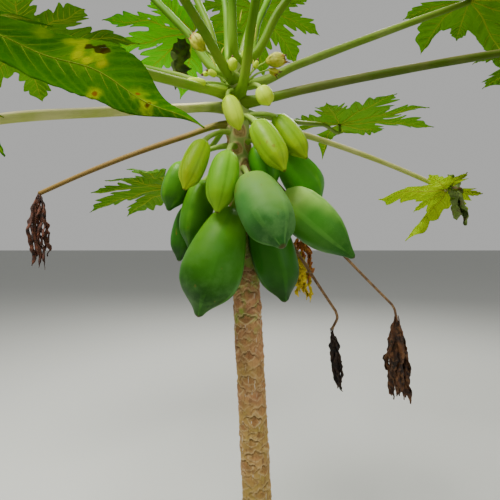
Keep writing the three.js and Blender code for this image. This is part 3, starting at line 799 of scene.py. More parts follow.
def blade(leaf, seed):
    """A whole blade: points in its own plane with heights, faces, veins as rows of points, and values."""
    dice = np.random.default_rng(seed)
    points, faces, veins, quilts, edges = [], [], [], [], []
    start = 0
    for lobe, lobe_size in enumerate(leaf["lobes"]):
        at, pitch = tooth_places(leaf["teeth"], dice)
        mood = dice.uniform(MOOD_LOW, MOOD_HIGH) * leaf["mood"] + leaf["turned"].get(lobe, lobe_turn())
        for way in (1, -1):
            grid, free, quilt, edge = half_lobe(leaf, lobe, way, at, pitch, mood, dice)
            points.append(grid.reshape(-1, 3))
            quilts.append(quilt.ravel())
            edges.append(edge.ravel())
            index, more = sheet(*grid.shape[:2], start, flipped=way == -1)
            faces += more
            veins += [(index[row, :5], SIDE_VEIN_RADIUS * 0.8) for row in WEB_VEINS]
            places = [*at, *(at[:-1] + at[1:]) / 2, at[-1] + pitch / 2]
            if leaf["veins"]:
                places = np.arange(leaf["veins"]) * vein_gap(leaf, pitch) + 0.02
            for place in places:
                row = int(np.abs(free - place).argmin())
                veins.append((index[row, :-1], SIDE_VEIN_RADIUS * (1.15 - 0.6 * place)))
            if way == 1:
                veins.append((index[::2, 0], VEIN_RADIUS * (0.5 + 0.5 * lobe_size)))
            start += index.size
    points = np.vstack(points)
    inner = soft(np.hypot(points[:, 0], points[:, 1]), 0, 0.1)
    points[:, 2] += ripple(points[:, :2], WAVE_LENGTH, seed) * WAVE_HEIGHT * inner
    return points, faces, veins, np.concatenate(quilts), np.concatenate(edges)


print("the first blade:", len(blade(LEAVES[0], 0)[1]), "faces")


# %% Points merged and holes cut
def merged(points, faces):
    """Coinciding points joined: the points, the faces on them, each old point's new number, and back."""
    _, first, number = np.unique(np.round(points[:, :2], 5), axis=0, return_index=True, return_inverse=True)
    number = number.ravel()
    joined = [list(dict.fromkeys(int(number[i]) for i in face)) for face in faces]
    return points[first], [corners for corners in joined if len(corners) > 2], number, first


def with_holes(points, faces, holes):
    """The faces without those that lie in a hole, given as x, y and radius in the blade's plane."""
    kept = []
    for face in faces:
        middle = points[face, :2].mean(0)
        if all(np.hypot(middle[0] - x, middle[1] - y) > r for x, y, r in holes):
            kept.append(face)
    return kept


test_points, test_faces, *_ = blade(LEAVES[0], 0)
print("merged:", len(test_points), "points to", len(merged(test_points, test_faces)[0]))

# %% [markdown]
# A dying lobe loses its stiffness and rolls up along its vein. Here that is a ribbon: a sheet that is
# curled across its width, hangs from one point to another and is crumpled by ripples towards its edge. The
# two sides of the sheet are told apart by a stored number, because the underside of a leaf is paler.

# %% Curled lobes
RIBBON_ROWS, RIBBON_COLUMNS, RIBBON_THICK = 34, 13, 0.0007
RIBBON_TURN = 1.6  # radians that the roll turns from one end to the other


def add_ribbon(shape, start, end, wide, curl, seed, finish=0, bow=(0, 0, 0), blunt=False):
    """One shrivelled lobe: a sheet rolled across its width, hanging from start to end."""
    dice = np.random.default_rng(seed)
    t = np.linspace(0, 1, RIBBON_ROWS)
    middle = (start + end) / 2 + dice.normal(size=3) * (0.006, 0.006, 0.004) + np.array(bow)
    line = smooth_line([start, middle, end], RIBBON_ROWS)
    sway = [ripple(t[:, None], 0.5, seed + 1), ripple(t[:, None], 0.4, seed + 2), 0 * t]
    line += np.column_stack(sway) * 0.004
    phase = dice.uniform(0, 2 * math.pi)
    across = np.linspace(-1, 1, RIBBON_COLUMNS)
    envelope = wide * np.sin(math.pi * np.clip(t * 0.9 + 0.08, 0, 1)) ** 0.7
    if blunt:
        envelope = wide * (0.15 + 0.85 * soft(t, 0.0, 0.35)) * (1 - 0.75 * soft(t, 0.86, 1.0))
    tear = 1 + 0.22 * ripple(np.column_stack([t * 3, 0 * t]), 0.5, seed + 3)
    size = (envelope * np.clip(tear, 0.45, 1.4))[:, None] / curl
    turned = (phase + RIBBON_TURN * t)[:, None]
    roll = curl * (across + 0.25 * ripple(t[:, None], 0.3, seed + 4)[:, None]) + turned
    x = size * (np.cos(roll) - np.cos(turned) * 0.6)
    y = size * (np.sin(roll) - np.sin(turned) * 0.6)
    flat = (line[:, None, :] + np.stack([x, y, 0 * x], axis=-1)).reshape(-1, 3)
    crumple = np.column_stack([ripple(flat, 0.018, seed + k) for k in (5, 6, 7)]) * (0.0022, 0.0022, 0.003)
    flat = flat + crumple * np.repeat(soft(t, 0, 0.15), RIBBON_COLUMNS)[:, None]
    _, faces = sheet(RIBBON_ROWS, RIBBON_COLUMNS)
    shape.add(*closed_sheet(flat, faces, RIBBON_THICK), finish, edge=np.repeat([1, 0], len(flat)))


test_ribbon = Shape()
add_ribbon(test_ribbon, np.zeros(3), -UP, 0.03, 2.0, 0)
print("a ribbon:", len(test_ribbon.faces), "faces")

# %% [markdown]
# Against the light, a leaf is far brighter than its own green, because most of what the eye gets has come
# through it. A Translucent shader mixed into the skin gives that glow. The green wanders in broad patches,
# pales beside the finest veins, which are a net of cells, and yellow flecks sit in it. The raised veins are
# geometry with a yellow-green finish of their own.


# %% Leaf finishes
def leaf_start(name, dark, light, net, net_share):
    """The part that all leaf finishes share: drifting greens, pale beside the veins, and a fine net."""
    made = Finish(name, dark)
    made.lay(light, made.patches(13, 4, 0.3, 0.7))
    made.lay(net, made.value("quilt") * 0.30)
    made.lay(net, (1 - made.step(made.value("edge"), 0.0, 0.16)) * 0.5)
    fine = 1 - made.step(made.cells(110, "DISTANCE_TO_EDGE"), 0.0, 0.10)
    made.lay(net, fine * net_share)
    return made, fine


def leaf_end(made, fine, roughness, glow, share, shine=0.08):
    normal = made.bump(made.noise(140, 3) + fine * 0.5 + made.value("quilt"), 0.3, 0.0010)
    return made.surface(roughness, normal, glow, share, shine)


def leaf_finish(name, dark, light, net, glow, share):
    made, fine = leaf_start(name, dark, light, net, 0.35)
    made.lay("c6b414", made.patches(34, 2, 0.70, 0.75) * 0.6)
    return leaf_end(made, fine, 0.5, glow, share)


def vein_paint(name, code, glow):
    made = Finish(name, code)
    made.lay(glow, made.noise(50, 2))
    return made.surface(0.6, None, glow, 0.25, shine=0.1)


LEAF_FINISHES = {  # blade and veins
    "green": [leaf_finish("leaf_green", "2e5c00", "4c7e02", "84a812", "94bc00", 0.42),
              vein_paint("vein_green", "9cb81c", "c0c828")],
    # bright: the lighter green of young leaves, and on back_left_bright, which stands against the light,
    # painted backlight
    "bright": [leaf_finish("leaf_bright", "509400", "70ac00", "a8c004", "8cd000", 0.5),
               vein_paint("vein_bright", "c4cc10", "dcdc18")],
}
print("green leaves are made with", LEAF_FINISHES["green"][0].name)

# %% Finish of the spotted leaf
SPOTS = [  # ahead and beside in the blade's plane, reach, blur of the edge, colour
    (-0.083, 0.131, 0.012, 0.6, "6c8c00"),
    (-0.092, 0.188, 0.026, 0.8, "5c8800"),
    (-0.080, 0.206, 0.020, 0.8, "5c8800"),
    (-0.0925, 0.168, 0.009, 0.6, "8ca400"),
    (-0.0975, 0.178, 0.009, 0.6, "94a400"),
    (-0.0900, 0.186, 0.009, 0.6, "94a400"),
    (-0.0789, 0.1915, 0.0080, 0.5, "a4b000"),
    (-0.0776, 0.2058, 0.0075, 0.5, "a8b000"),
    (-0.0824, 0.2231, 0.0070, 0.6, "989c04"),
    (-0.0896, 0.2105, 0.010, 0.6, "8ca400"),
    (-0.053, 0.240, 0.009, 0.5, "90a400"),
    (-0.080, 0.277, 0.010, 0.6, "789800"),
    (-0.074, 0.296, 0.010, 0.5, "90a400"),
    (-0.094, 0.194, 0.007, 0.1, "34190a"),
    (-0.099, 0.204, 0.009, 0.1, "281208"),
    (-0.098, 0.214, 0.006, 0.1, "34190a"),
    (-0.053, 0.240, 0.0034, 0.3, "80480c"),
    (-0.080, 0.277, 0.0036, 0.3, "80400c"),
    (-0.074, 0.297, 0.0042, 0.3, "50200a"),
]


def spotted_finish():
    """The near leaf: deep green, with yellow blotches round a torn brown patch and a few brown specks."""
    made, fine = leaf_start("leaf_spotted", "205400", "326c00", "5c8c04", 0.2)
    ahead, beside = made.value("ahead"), made.value("beside")
    wander = made.noise(90, 4) * 1.6 - 0.8
    for x, y, reach, blur, code in SPOTS:
        away_x, away_y = ahead - x, beside - y
        apart = (away_x * away_x + away_y * away_y) ** 0.5
        made.lay(code, (1 - made.step(apart * (1 / reach) + wander, 0.8 - blur, 0.8 + blur)) * 0.9)
    return leaf_end(made, fine, 0.8, "7cac00", 0.28, shine=0.0)


LEAF_FINISHES["spotted"] = [spotted_finish(), vein_paint("vein_spotted", "5c8000", "7c8c00")]
print(len(SPOTS), "spots")

# %% Finishes of the wilting leaf
DRY_FROM = 0.500  # metres to the right of the stem's foot, where the yellow leaf turns brown
def yellow_finish():
    """The wilting leaf: lime to yellow, brown and dry where it hangs furthest out."""
    made, fine = leaf_start("leaf_yellow", "98c400", "c0d800", "dcdc20", 0.2)
    across = made.part(made.place(), "X")
    made.lay("4a3a14", made.step(across + made.noise(24, 4) * 0.08, DRY_FROM + 0.03, DRY_FROM + 0.06))
    made.lay("7a6a18", made.patches(40, 3, 0.64, 0.74) * 0.6)
    return leaf_end(made, fine, 0.6, "d0e800", 0.5)


LEAF_FINISHES["yellow"] = [yellow_finish(), vein_paint("vein_yellow", "c0b838", "d0c850")]
curled = Finish("leaf_curled", "3c5010")
curled.lay("647c20", curled.patches(40, 3, 0.35, 0.65))
curled.lay("5c3c18", curled.patches(60, 3, 0.56, 0.66) * 0.8)
curled.lay("64782c", curled.value("edge") * 0.5)
curled_finish = curled.surface(0.7, curled.bump(curled.noise(120, 4), 0.6, 0.002))
print("leaf finishes:", *LEAF_FINISHES)

# %% Leaves placed
LEAF_THICK = 0.0008
VEIN_SIDES, SHORTEST_VEIN, SAME_POINT = 4, 0.008, 1e-4
USUAL_VEINS, GIVEN_VEINS = 0.35, 0.5  # size of the leaf on which the veins have just their own radii
for number, item in enumerate(LEAVES):
    points, faces, veins, quilt, edge = blade(item, 100 + number)
    points, faces, place, first = merged(points, faces)
    faces = with_holes(points, faces, item["holes"])
    centre, forward, side, normal = blade_frame(item)
    axes = np.stack([forward, side, normal])
    solid, closed = closed_sheet(points, faces, LEAF_THICK)
    values = {"ahead": points[:, 0], "beside": points[:, 1], "quilt": quilt[first], "edge": edge[first]}
    shape = Shape()
    shape.add(centre + solid @ axes, closed, **{key: np.tile(value, 2) for key, value in values.items()})
    for rows, radius in veins:
        run = points[place[rows]]
        if np.linalg.norm(run[-1] - run[0]) < SHORTEST_VEIN:
            continue
        taper = np.linspace(1, 0.25, len(run)) * radius * item["size"]
        taper /= GIVEN_VEINS if item["veins"] else USUAL_VEINS
        run = centre + (run - [0, 0, LEAF_THICK / 2]) @ axes - np.outer(taper * 0.2, normal)
        keep = np.concatenate([[True], np.linalg.norm(np.diff(run, axis=0), axis=1) > SAME_POINT])
        shape.add(*tube(run[keep], taper[keep], VEIN_SIDES), 1)
    for k, (x1, y1, z1, x2, y2, z2, wide, curl) in enumerate(item["curled"]):
        add_ribbon(shape, centre + (x1, y1, z1), centre + (x2, y2, z2), wide, curl, 300 + k, finish=2)
    slot = "yellow_leaf" if item["shade"] == "yellow" else "leaf_blade"
    finishes = [*LEAF_FINISHES[item["shade"]], curled_finish]
    shape.piece("leaf_" + item["name"], finishes, ["blade_" + item["name"]])
    print("leaf", item["name"], len(shape.faces), "faces")

# %% [markdown]
# Papaya fruit is a smooth pear with five faint ribs, wide below its middle and ending in a small nipple,
# where the flower was. It hangs on a short thick stalk from the scar of the leaf that grew beside it. A
# revolved profile would be too even, so the ribs, a slight bend and a slow swelling are added ring by
# ring. Shoulder and tip are given, and the line between them is bowed a little away from the stem.

# %% What is said of a fruit
PEAR = ([0, 0.03, 0.09, 0.2, 0.35, 0.5, 0.62, 0.72, 0.8, 0.865, 0.92, 0.965, 1],
        [0.20, 0.38, 0.56, 0.72, 0.87, 0.98, 1.0, 0.93, 0.75, 0.50, 0.27, 0.165, 0.09])
BARREL = ([0, 0.03, 0.09, 0.2, 0.35, 0.5, 0.62, 0.74, 0.82, 0.88, 0.93, 0.97, 1],
          [0.30, 0.52, 0.74, 0.9, 0.985, 1.0, 0.97, 0.86, 0.67, 0.45, 0.28, 0.19, 0.11])
TAPERED = (BARREL[0], [0.32, 0.58, 0.80, 0.95, 1.0, 0.96, 0.85, 0.64, 0.45, 0.31, 0.21, 0.14, 0.08])
FRUIT_SIZES = "name base turn shoulder tip radius skin form rib keel".split()


def fruit(*sizes):
    """rib is the depth of the ribs, and keel the turn of one sharp rib from the near side to the right."""
    return {"form": PEAR, "rib": 0.030, "keel": None, **dict(zip(FRUIT_SIZES, sizes))}


print("a pear is widest", PEAR[0][PEAR[1].index(max(PEAR[1]))], "of the way down")

# %% Fruit list
FRUIT = [
    fruit("upper_front", 1.258, 285, (-0.016, -0.084, 1.232), (0.050, -0.140, 1.104), 0.033, "lime",
          BARREL, 0.07),
    fruit("upper_right", 1.262, 318, (0.034, -0.046, 1.256), (0.110, -0.074, 1.146), 0.031, "lime",
          BARREL, 0.07),
    fruit("middle_right_inner", 1.196, 318, (-0.014, -0.036, 1.186), (0.024, -0.052, 1.072), 0.035, "shaded",
          BARREL),
    fruit("middle_right_outer", 1.214, 350, (0.038, 0, 1.194), (0.162, 0.020, 1.040), 0.052, "vivid",
          PEAR, 0.045, 20),
    fruit("front_centre", 1.128, 285, (-0.032, -0.098, 1.090), (0.038, -0.236, 0.930), 0.060, "bloom",
          BARREL, 0.030, 30),
    fruit("right_large", 1.084, 335, (0.054, -0.040, 1.060), (0.230, -0.072, 0.900), 0.059, "pale_top",
          TAPERED, 0.036, 62),
    fruit("lower_right", 1.026, 318, (-0.002, -0.052, 1.008), (0.058, -0.066, 0.788), 0.057, "dark",
          BARREL, 0.036, 12),
    fruit("lower_left_large", 1.046, 246, (-0.074, -0.060, 1.022), (-0.156, -0.116, 0.760), 0.075, "green",
          PEAR, 0.022, 4),
    fruit("middle_front", 1.184, 246, (-0.084, -0.086, 1.158), (-0.108, -0.138, 1.008), 0.037, "mid",
          BARREL, 0.035),
    fruit("upper_left", 1.224, 208, (-0.146, -0.060, 1.192), (-0.188, -0.112, 1.064), 0.031, "spotted",
          BARREL, 0.06),
    fruit("left_outer", 1.192, 180, (-0.204, 0.002, 1.150), (-0.248, -0.004, 1.022), 0.037, "deep", BARREL),
    fruit("left_middle", 1.120, 200, (-0.150, -0.008, 1.100), (-0.190, -0.016, 0.922), 0.042, "deep",
          BARREL),
    fruit("left_lower_back", 1.060, 158, (-0.194, 0.062, 1.042), (-0.232, 0.060, 0.884), 0.037, "dark",
          BARREL),
    fruit("back_right", 1.112, 74, (-0.022, 0.098, 1.092), (0, 0.134, 0.896), 0.052, "green"),
    fruit("back_left", 1.020, 128, (-0.104, 0.096, 0.998), (-0.140, 0.128, 0.808), 0.052, "green"),
    fruit("back_upper", 1.204, 112, (-0.088, 0.084, 1.184), (-0.104, 0.118, 1.040), 0.043, "mid", BARREL),
]
print(len(FRUIT), "fruits, the thickest", 2 * max(item["radius"] for item in FRUIT), "m")

# %% Fruit mesh
FRUIT_MESH, SMALL_MESH = (60, 60), (30, 26)  # rings and sides
SMALL_FRUIT = 0.025  # fruit with a smaller radius gets the small mesh
RIB_SHARPNESS = 1.3
FRUIT_STALK, FRUIT_STALK_RINGS, FRUIT_STALK_SIDES = 0.0078, 22, 16
THINNER_BELOW = 0.033  # fruit with a smaller radius than this has a thinner stalk
KNEE_OUT, KNEE_UP = 0.014, 0.012  # the fruit stalk's bend, from the stem's skin


def add_fruit(shape, item, seed, skin=0, stalk=1):
    dice = np.random.default_rng(seed)
    ring_count, side_count = SMALL_MESH if item["radius"] < SMALL_FRUIT else FRUIT_MESH
    shoulder, tip = np.array(item["shoulder"], float), np.array(item["tip"], float)
    t = (1 - np.cos(np.linspace(0, math.pi, ring_count))) / 2
    outward = (tip + shoulder) / 2 - stem_centre((tip + shoulder)[2] / 2)
    outward[2] = 0
    line = shoulder + np.outer(t, tip - shoulder)
    line = line + np.outer(4 * t * (1 - t), unit(outward)) * item["radius"] * 0.05
    fine = np.linspace(0, 1, 400)
    radii = np.interp(fine, *item["form"])
    radii = np.convolve(np.pad(radii, 12, mode="edge"), np.ones(25) / 25, mode="valid")  # rounds corners
    radii = np.interp(t, fine, radii) * np.sqrt(np.clip((1 - t) / 0.02 + 0.02, 0, 1))
    angles = ring_angles(side_count)
    if item["keel"] is None:
        rib = np.abs(np.cos(2.5 * angles + dice.uniform(0, 6))) ** RIB_SHARPNESS
    else:
        rib = (1 - np.abs(np.sin(2.5 * angles + 2.5 * math.radians(item["keel"])))) ** 1.4 + 0.25
    depth = item["rib"] * (0.75 + 1.5 * soft(t, 0.5, 0.9) + 1.2 * soft(t, 0.2, 0.02))
    oval = 0.02 * np.cos(angles * 2 + dice.uniform(0, 6))[None, :]
    wobble = 1 + depth[:, None] * (rib[None, :] - 0.55) + oval
    points, faces = tube(line, radii * item["radius"], side_count, wobble)
    shape.add(points, faces, skin, along=np.repeat(t, side_count), rib=np.tile(rib, ring_count))
    base, turn = item["base"], item["turn"]
    start = inside_stem(base, turn)
    knee = stem_centre(base) + compass(turn) * (stem_radius(base) + KNEE_OUT) + UP * KNEE_UP
    end = shoulder + (tip - shoulder) * 0.02
    above = end - unit(tip - shoulder) * 0.020
    part = np.linspace(0, 1, FRUIT_STALK_RINGS)[:, None]
    bow = (1 - part) ** 3 * start + 3 * part * (1 - part) ** 2 * knee
    bow = bow + 3 * part**2 * (1 - part) * above + part**3 * end
    part = part.ravel()
    thick = FRUIT_STALK * (1.25 - 0.40 * soft(part, 0, 0.4) + 0.35 * soft(part, 0.75, 1))
    points, faces = tube(bow, thick * min(1, item["radius"] / THINNER_BELOW), FRUIT_STALK_SIDES)
    shape.add(points, faces, stalk, along=np.repeat(part, FRUIT_STALK_SIDES), rib=0.5)


test_fruit = Shape()
add_fruit(test_fruit, FRUIT[0], 0)
print("a fruit:", len(test_fruit.faces), "faces")

# %% [markdown]
# The skin of green papaya is waxy: broad soft highlights, a whitish bloom that turns the oldest fruit
# bluish, paler ribs, a yellower shoulder, and a scatter of tiny pale pores. The finish reads how far along
# the fruit a point is and how near a rib, and the noise breaks both up. The green darkens towards the tip,
# partly the fruit's own and partly painted shade. On some skins the side that faces the sky gets painted
# light, a paler coat, and on others the grooves between the ribs get painted shade.


# %% Fruit finishes
def fruit_finish(name, codes, bloom_share, upper=None, roughness=0.42, painted_groove_shade=None):
    """codes are the colours of shoulder, body, tip, ribs and bloom; the sky-side colour is painted light."""
    shoulder, body, tip, rib, bloom = codes.split()
    made = Finish("fruit_" + name, shoulder)
    along, ridge = made.value("along"), made.value("rib")
    wander = made.noise(16, 4) * 0.24 - 0.12
    made.lay(body, made.step(along + wander, 0.02, 0.40))
    # darker towards the tip: partly the fruit's own green, partly painted shade on the lower end
    made.lay(tip, made.step(along + wander, 0.50, 0.95))
    # painted light: a paler coat on the side that faces the sky
    if upper:
        made.lay(upper, made.step(made.upward() + wander, 0.15, 0.85) * 0.85)
    made.lay(rib, made.step(ridge, 0.75, 1.0) * made.patches(26, 3, 0.3, 0.6) * 0.45)
    # painted shade: darker colour in the grooves between the ribs
    if painted_groove_shade:
        made.lay(painted_groove_shade, (1 - made.step(ridge, 0.0, 0.30)) * 0.42)
    made.lay(bloom, made.patches(21, 5, 0.40, 0.66, roughness=0.6) * bloom_share)
    pores = 1 - made.step(made.cells(230, "F1"), 0.08, 0.18)
    made.lay(rib, pores * 0.55)
    scuffs = made.patches(48, 2, 0.68, 0.73, stretch=(1, 1, 0.6)) * made.patches(9, 1, 0.5, 0.6)
    made.lay("7a6a24", scuffs * 0.6)
    made.lay("4a3c1a", made.step(along, 0.975, 0.995) * 0.8)
    sheen = made.patches(24, 3, 0.2, 0.9) * 0.16 + (roughness - 0.06)
    return made.surface(sheen, made.bump(made.noise(60, 3) + pores * 0.4, 0.2, 0.001), shine=0.16)


print(fruit_finish.__doc__)

# %% Fruit placed
SKINS = [
    ("lime", "7cac00 729c00 88a800 9cbc00 84ac00", 0.3, dict(painted_groove_shade="4c7800")),
    ("spotted", "98c400 8cb800 98b808 a8c408 98a00c", 0.35, dict(painted_groove_shade="487000")),
    ("mid", "80bc1c 6cac18 84b408 8cc018 78b424", 0.3, dict(painted_groove_shade="387400")),
    ("shaded", "489000 348000 387c00 58a000 4c9010", 0.3, dict(painted_groove_shade="1c5000")),
    ("deep", "5c9410 3c740c 245c04 5c9818 508428", 0.2, dict(roughness=0.38)),
    ("vivid", "70b004 449800 388404 64ac14 549828", 0.2, dict(roughness=0.36)),
    ("dark", "3c7c04 286410 144004 347414 38701c", 0.3, dict(upper="408008")),
    ("green", "70ac10 387812 103c00 488c20 5c9440", 0.35, dict(upper="70b018")),
    ("bloom", "749c04 488638 1c5414 5c9440 689850", 0.45, dict(upper="749c40", roughness=0.5)),
    # pale_top: a pale shoulder of its own, and painted light on the side that faces the sky
    ("pale_top", "a4cc54 387818 1a5408 5c9c34 588c34", 0.25, dict(upper="a8d664")),
    ("baby", "a8c80c b0cc18 c0d424 c8dc30 c0d838", 0.3, dict(painted_groove_shade="8cb008")),
]
FRUIT_FINISHES = {name: fruit_finish(name, codes, share, **more) for name, codes, share, more in SKINS}
for number, item in enumerate(FRUIT):
    shape = Shape()
    add_fruit(shape, item, 40 + number)
    finishes = [FRUIT_FINISHES[item["skin"]], STALK_FINISHES["fruit"]]
    shape.piece("papaya_" + item["name"], finishes, ["fruit_" + item["name"]])
print(len(FRUIT), "fruits placed")

# %% [markdown]
# Old leaves die back from the bottom of the crown. Their stalks dry to thin brown wands, and the blade
# shrivels into a hanging rag: every lobe rolls up along its vein. So a dead leaf is a bundle of rolled
# ribbons that start at the end of the stalk and hang, each a sheet that is curled across its width and
# crumpled by ripples that grow towards its edge.


# %% Dried finishes
def dry_finish(name, dark, light, edge, edge_share):
    made = Finish(name, dark)
    made.lay(light, made.patches(38, 4, 0.35, 0.7))
    made.lay(edge, made.patches(85, 3, 0.5, 0.62) * edge_share)
    return made.surface(0.85, made.bump(made.noise(90, 5) + made.noise(300, 3) * 0.5, 0.8, 0.002))


dry_stalk_finish = dry_finish("dry_stalk", "5a4028", "8a6a44", "a88860", 0.4)
print("first dried finish:", dry_stalk_finish.name)


# %% Rags
def add_rag(shape, top, bottom, wide, lobes, seed, finish=0, spread=0.8, curl=(1.2, 2.4)):
    """A dead blade: ribbons of different lengths that hang from one point like a closed umbrella."""
    top, bottom = np.array(top), np.array(bottom)
    dice = np.random.default_rng(seed)
    for k in range(lobes):
        turn = compass(360 * k / lobes + dice.uniform(-20, 20))
        length = dice.uniform(0.66, 0.98) if k else 1.0
        end = top + (bottom - top) * length + turn * wide * spread * dice.uniform(0.5, 1.0)
        sizes = wide * dice.uniform(0.35, 0.6), dice.uniform(*curl)
        bow = turn * wide * spread * 0.25
        add_ribbon(shape, top + turn * 0.002, end, *sizes, seed * 31 + k, finish, bow, blunt=True)


test_rag = Shape()
add_rag(test_rag, (0, 0, 0), -UP, 0.03, 9, 0)
print("a rag of nine ribbons:", len(test_rag.faces), "faces")

# %% Dead stalks and leaves placed
OLD_SIZES = "name leaf base turn radius sag end hang bottom wide lobes spread curl finish rag_finish".split()
OLD_STALKS = [
    ("petiole_left_old", "withered_leaf_left", 1.250, 182, 0.008, -0.012, (-0.590, -0.004, 1.068), [],
     (-0.592, -0.006, 0.868), 0.026, 12, 0.8, (2.6, 4.5),
     stalk_finish("old_stalk", "848038", "745c2c", "846c3e", 0.8, "6a522a"),
     dry_finish("dead_leaf_left", "1c0c06", "4c2410", "683418", 0.5)),
    ("dead_stalk_right_near", "withered_leaf_right_near", 1.108, 20, 0.005, 0.006, (0.206, 0.034, 0.748),
     [(0.211, 0.034, 0.730), (0.204, 0.034, 0.712), (0.195, 0.034, 0.696)],
     (0.218, 0.036, 0.522), 0.018, 14, 0.22, (1.6, 3.0), dry_stalk_finish,
     dry_finish("dead_leaf_near", "100a06", "2c1c10", "4c3420", 0.4)),
    ("dead_stalk_right_far", "withered_leaf_right_far", 1.200, 66, 0.005, 0.008, (0.392, 0.120, 0.752),
     [(0.400, 0.120, 0.738), (0.405, 0.120, 0.716)],
     (0.424, 0.125, 0.452), 0.040, 17, 0.75, (2.0, 3.4), dry_stalk_finish,
     dry_finish("dead_leaf_far", "1c0e06", "5c3618", "7c5430", 0.5)),
]
OLD_TAPER, OLD_FOOT = 0.72, 0.6
RAG_LIFT = np.array([0, 0, 0.004])  # the rag starts a little above the end of its stalk
for number, row in enumerate(OLD_STALKS):
    item = dict(zip(OLD_SIZES, row))
    line = stalk_line(item["base"], item["turn"], item["radius"], item["sag"], np.array(item["end"]))
    if item["hang"]:
        line = np.vstack([line[:-1], smooth_line([item["end"], *item["hang"]], 16)])
    shape = Shape()
    add_stalk(shape, line, item["radius"], OLD_TAPER, foot=OLD_FOOT, seed=number)
    shape.piece(item["name"] + "_dry", [item["finish"]], [item["name"]])
    rag = Shape()
    add_rag(rag, line[-1] + RAG_LIFT, item["bottom"], item["wide"], item["lobes"], 60 + number,
            spread=item["spread"], curl=item["curl"])
    rag.piece(item["leaf"] + "_rag", [item["rag_finish"]], [item["leaf"]])
print("dead leaves placed")

# %% [markdown]
# Behind the fruit hangs a dried flower bunch, orange-brown above and yellow below. It is built as the dead
# leaves are, with narrower ribbons in two finishes.

# %% Dried bunch
BUNCH_BASE, BUNCH_TURN = 1.052, 42
BUNCH_KNEE, BUNCH_TOP = (0.066, 0.066, 1.004), (0.112, 0.074, 0.962)
YELLOW_TOP, BROWN_BOTTOM, YELLOW_BOTTOM = (0.112, 0.074, 0.912), (0.124, 0.078, 0.824), (0.124, 0.078, 0.764)
bunch = Shape()
bunch_line = smooth_line([inside_stem(BUNCH_BASE, BUNCH_TURN), BUNCH_KNEE, BUNCH_TOP], 24)
add_stalk(bunch, bunch_line, 0.0045, 0.6, foot=0.4)
add_rag(bunch, BUNCH_TOP, BROWN_BOTTOM, 0.030, 6, 81, finish=1)
add_rag(bunch, YELLOW_TOP, YELLOW_BOTTOM, 0.026, 9, 82, finish=2)
brown = dry_finish("dried_bunch_brown", "7c4418", "c07430", "e0a444", 0.5)
yellow = dry_finish("dried_bunch_yellow", "a89410", "dcc01c", "e4d03c", 0.5)
bunch.piece("dried_bunch", [dry_stalk_finish, brown, yellow], ["withered_bunch_back"])
print("bunch placed")

# %% [markdown]
# At the top of the column the newest fruit is no bigger than an egg, still pale, and beside it sit
# fruitlets with the dark remains of the flower at their tip, and flowers that have just closed. They are
# too small to be solids of their own in the CAD model, so they exist only here.

# %% Lists of young fruit, flowers and slips
YOUNG_FRUIT = [  # height and turn of the foot, shoulder, tip, radius, form
    (1.322, 262, (-0.086, -0.070, 1.300), (-0.056, -0.078, 1.214), 0.0235, BARREL),
    (1.330, 300, (-0.006, -0.086, 1.316), (0.016, -0.092, 1.270), 0.0215, BARREL),
    (1.335, 236, (-0.134, -0.125, 1.313), (-0.186, -0.132, 1.306), 0.0145, PEAR),
    (1.366, 258, (-0.074, -0.062, 1.366), (-0.074, -0.072, 1.396), 0.0125, BARREL),
    (1.350, 236, (-0.112, -0.092, 1.342), (-0.134, -0.098, 1.352), 0.0080, BARREL),
    (1.338, 218, (-0.132, -0.072, 1.356), (-0.148, -0.078, 1.350), 0.0068, BARREL),
    (1.378, 292, (-0.046, -0.072, 1.392), (-0.044, -0.078, 1.412), 0.0070, BARREL),
    (1.350, 305, (-0.020, -0.066, 1.370), (-0.012, -0.068, 1.390), 0.0060, BARREL),
    (1.345, 20, (0.022, 0.020, 1.372), (0.038, 0.026, 1.388), 0.0080, BARREL),
    (1.355, 110, (-0.098, 0.078, 1.372), (-0.104, 0.096, 1.386), 0.0100, BARREL),
    (1.335, 170, (-0.150, 0.018, 1.352), (-0.176, 0.020, 1.350), 0.0110, PEAR),
]
WITHOUT_MARK = 2  # the first two are too old for the dark remains of the flower
FLOWERS = [  # start, way, length, opening, foot on the stem
    ((0.010, -0.064, 1.388), (1, -0.1, 0.10), 0.052, 0.16, (-0.050, -0.022, 1.350)),
    ((0.018, -0.056, 1.372), (1, 0.1, -0.55), 0.026, 0.30, (-0.048, -0.020, 1.346)),
    ((-0.142, -0.082, 1.408), (-0.66, -0.05, 0.70), 0.050, 0.14, (-0.092, -0.030, 1.376)),
    ((-0.100, -0.052, 1.392), (-0.4, -0.3, 0.5), 0.020, 0.10, (-0.084, -0.020, 1.368)),
]
SLIPS = [  # start, way and length of the pale slips that stand at the feet of the stalks
    ((-0.102, -0.080, 1.392), (0.1, -0.1, 1), 0.024),
    ((-0.056, -0.076, 1.475), (0.05, 0, 1), 0.036),
    ((-0.020, -0.060, 1.440), (0.15, 0, 1), 0.044),
    ((-0.026, -0.064, 1.366), (0.3, -0.1, 1), 0.028),
    ((-0.118, -0.030, 1.385), (-0.3, 0, 1), 0.030),
    ((-0.030, 0.060, 1.400), (0.3, 0.2, 1), 0.034),
    ((-0.110, 0.060, 1.400), (-0.3, 0.2, 1), 0.034),
]
print(len(YOUNG_FRUIT), "young fruits,", len(FLOWERS), "flowers and", len(SLIPS), "slips")

# %% Petals
PETALS, PETAL_ROWS, PETAL_COLUMNS, PETAL_THICK = 5, 10, 5, 0.0006
SKIN, STALK, PETAL, MARK = range(4)  # the finishes of this piece
young = Shape()


def add_mark(point, way, first, last, radii, sides):
    """The dark remains of a flower: a short tip along way, from first to last metres past the point."""
    young.add(*tube(point + np.outer(np.linspace(first, last, 4), way), radii, sides), MARK)


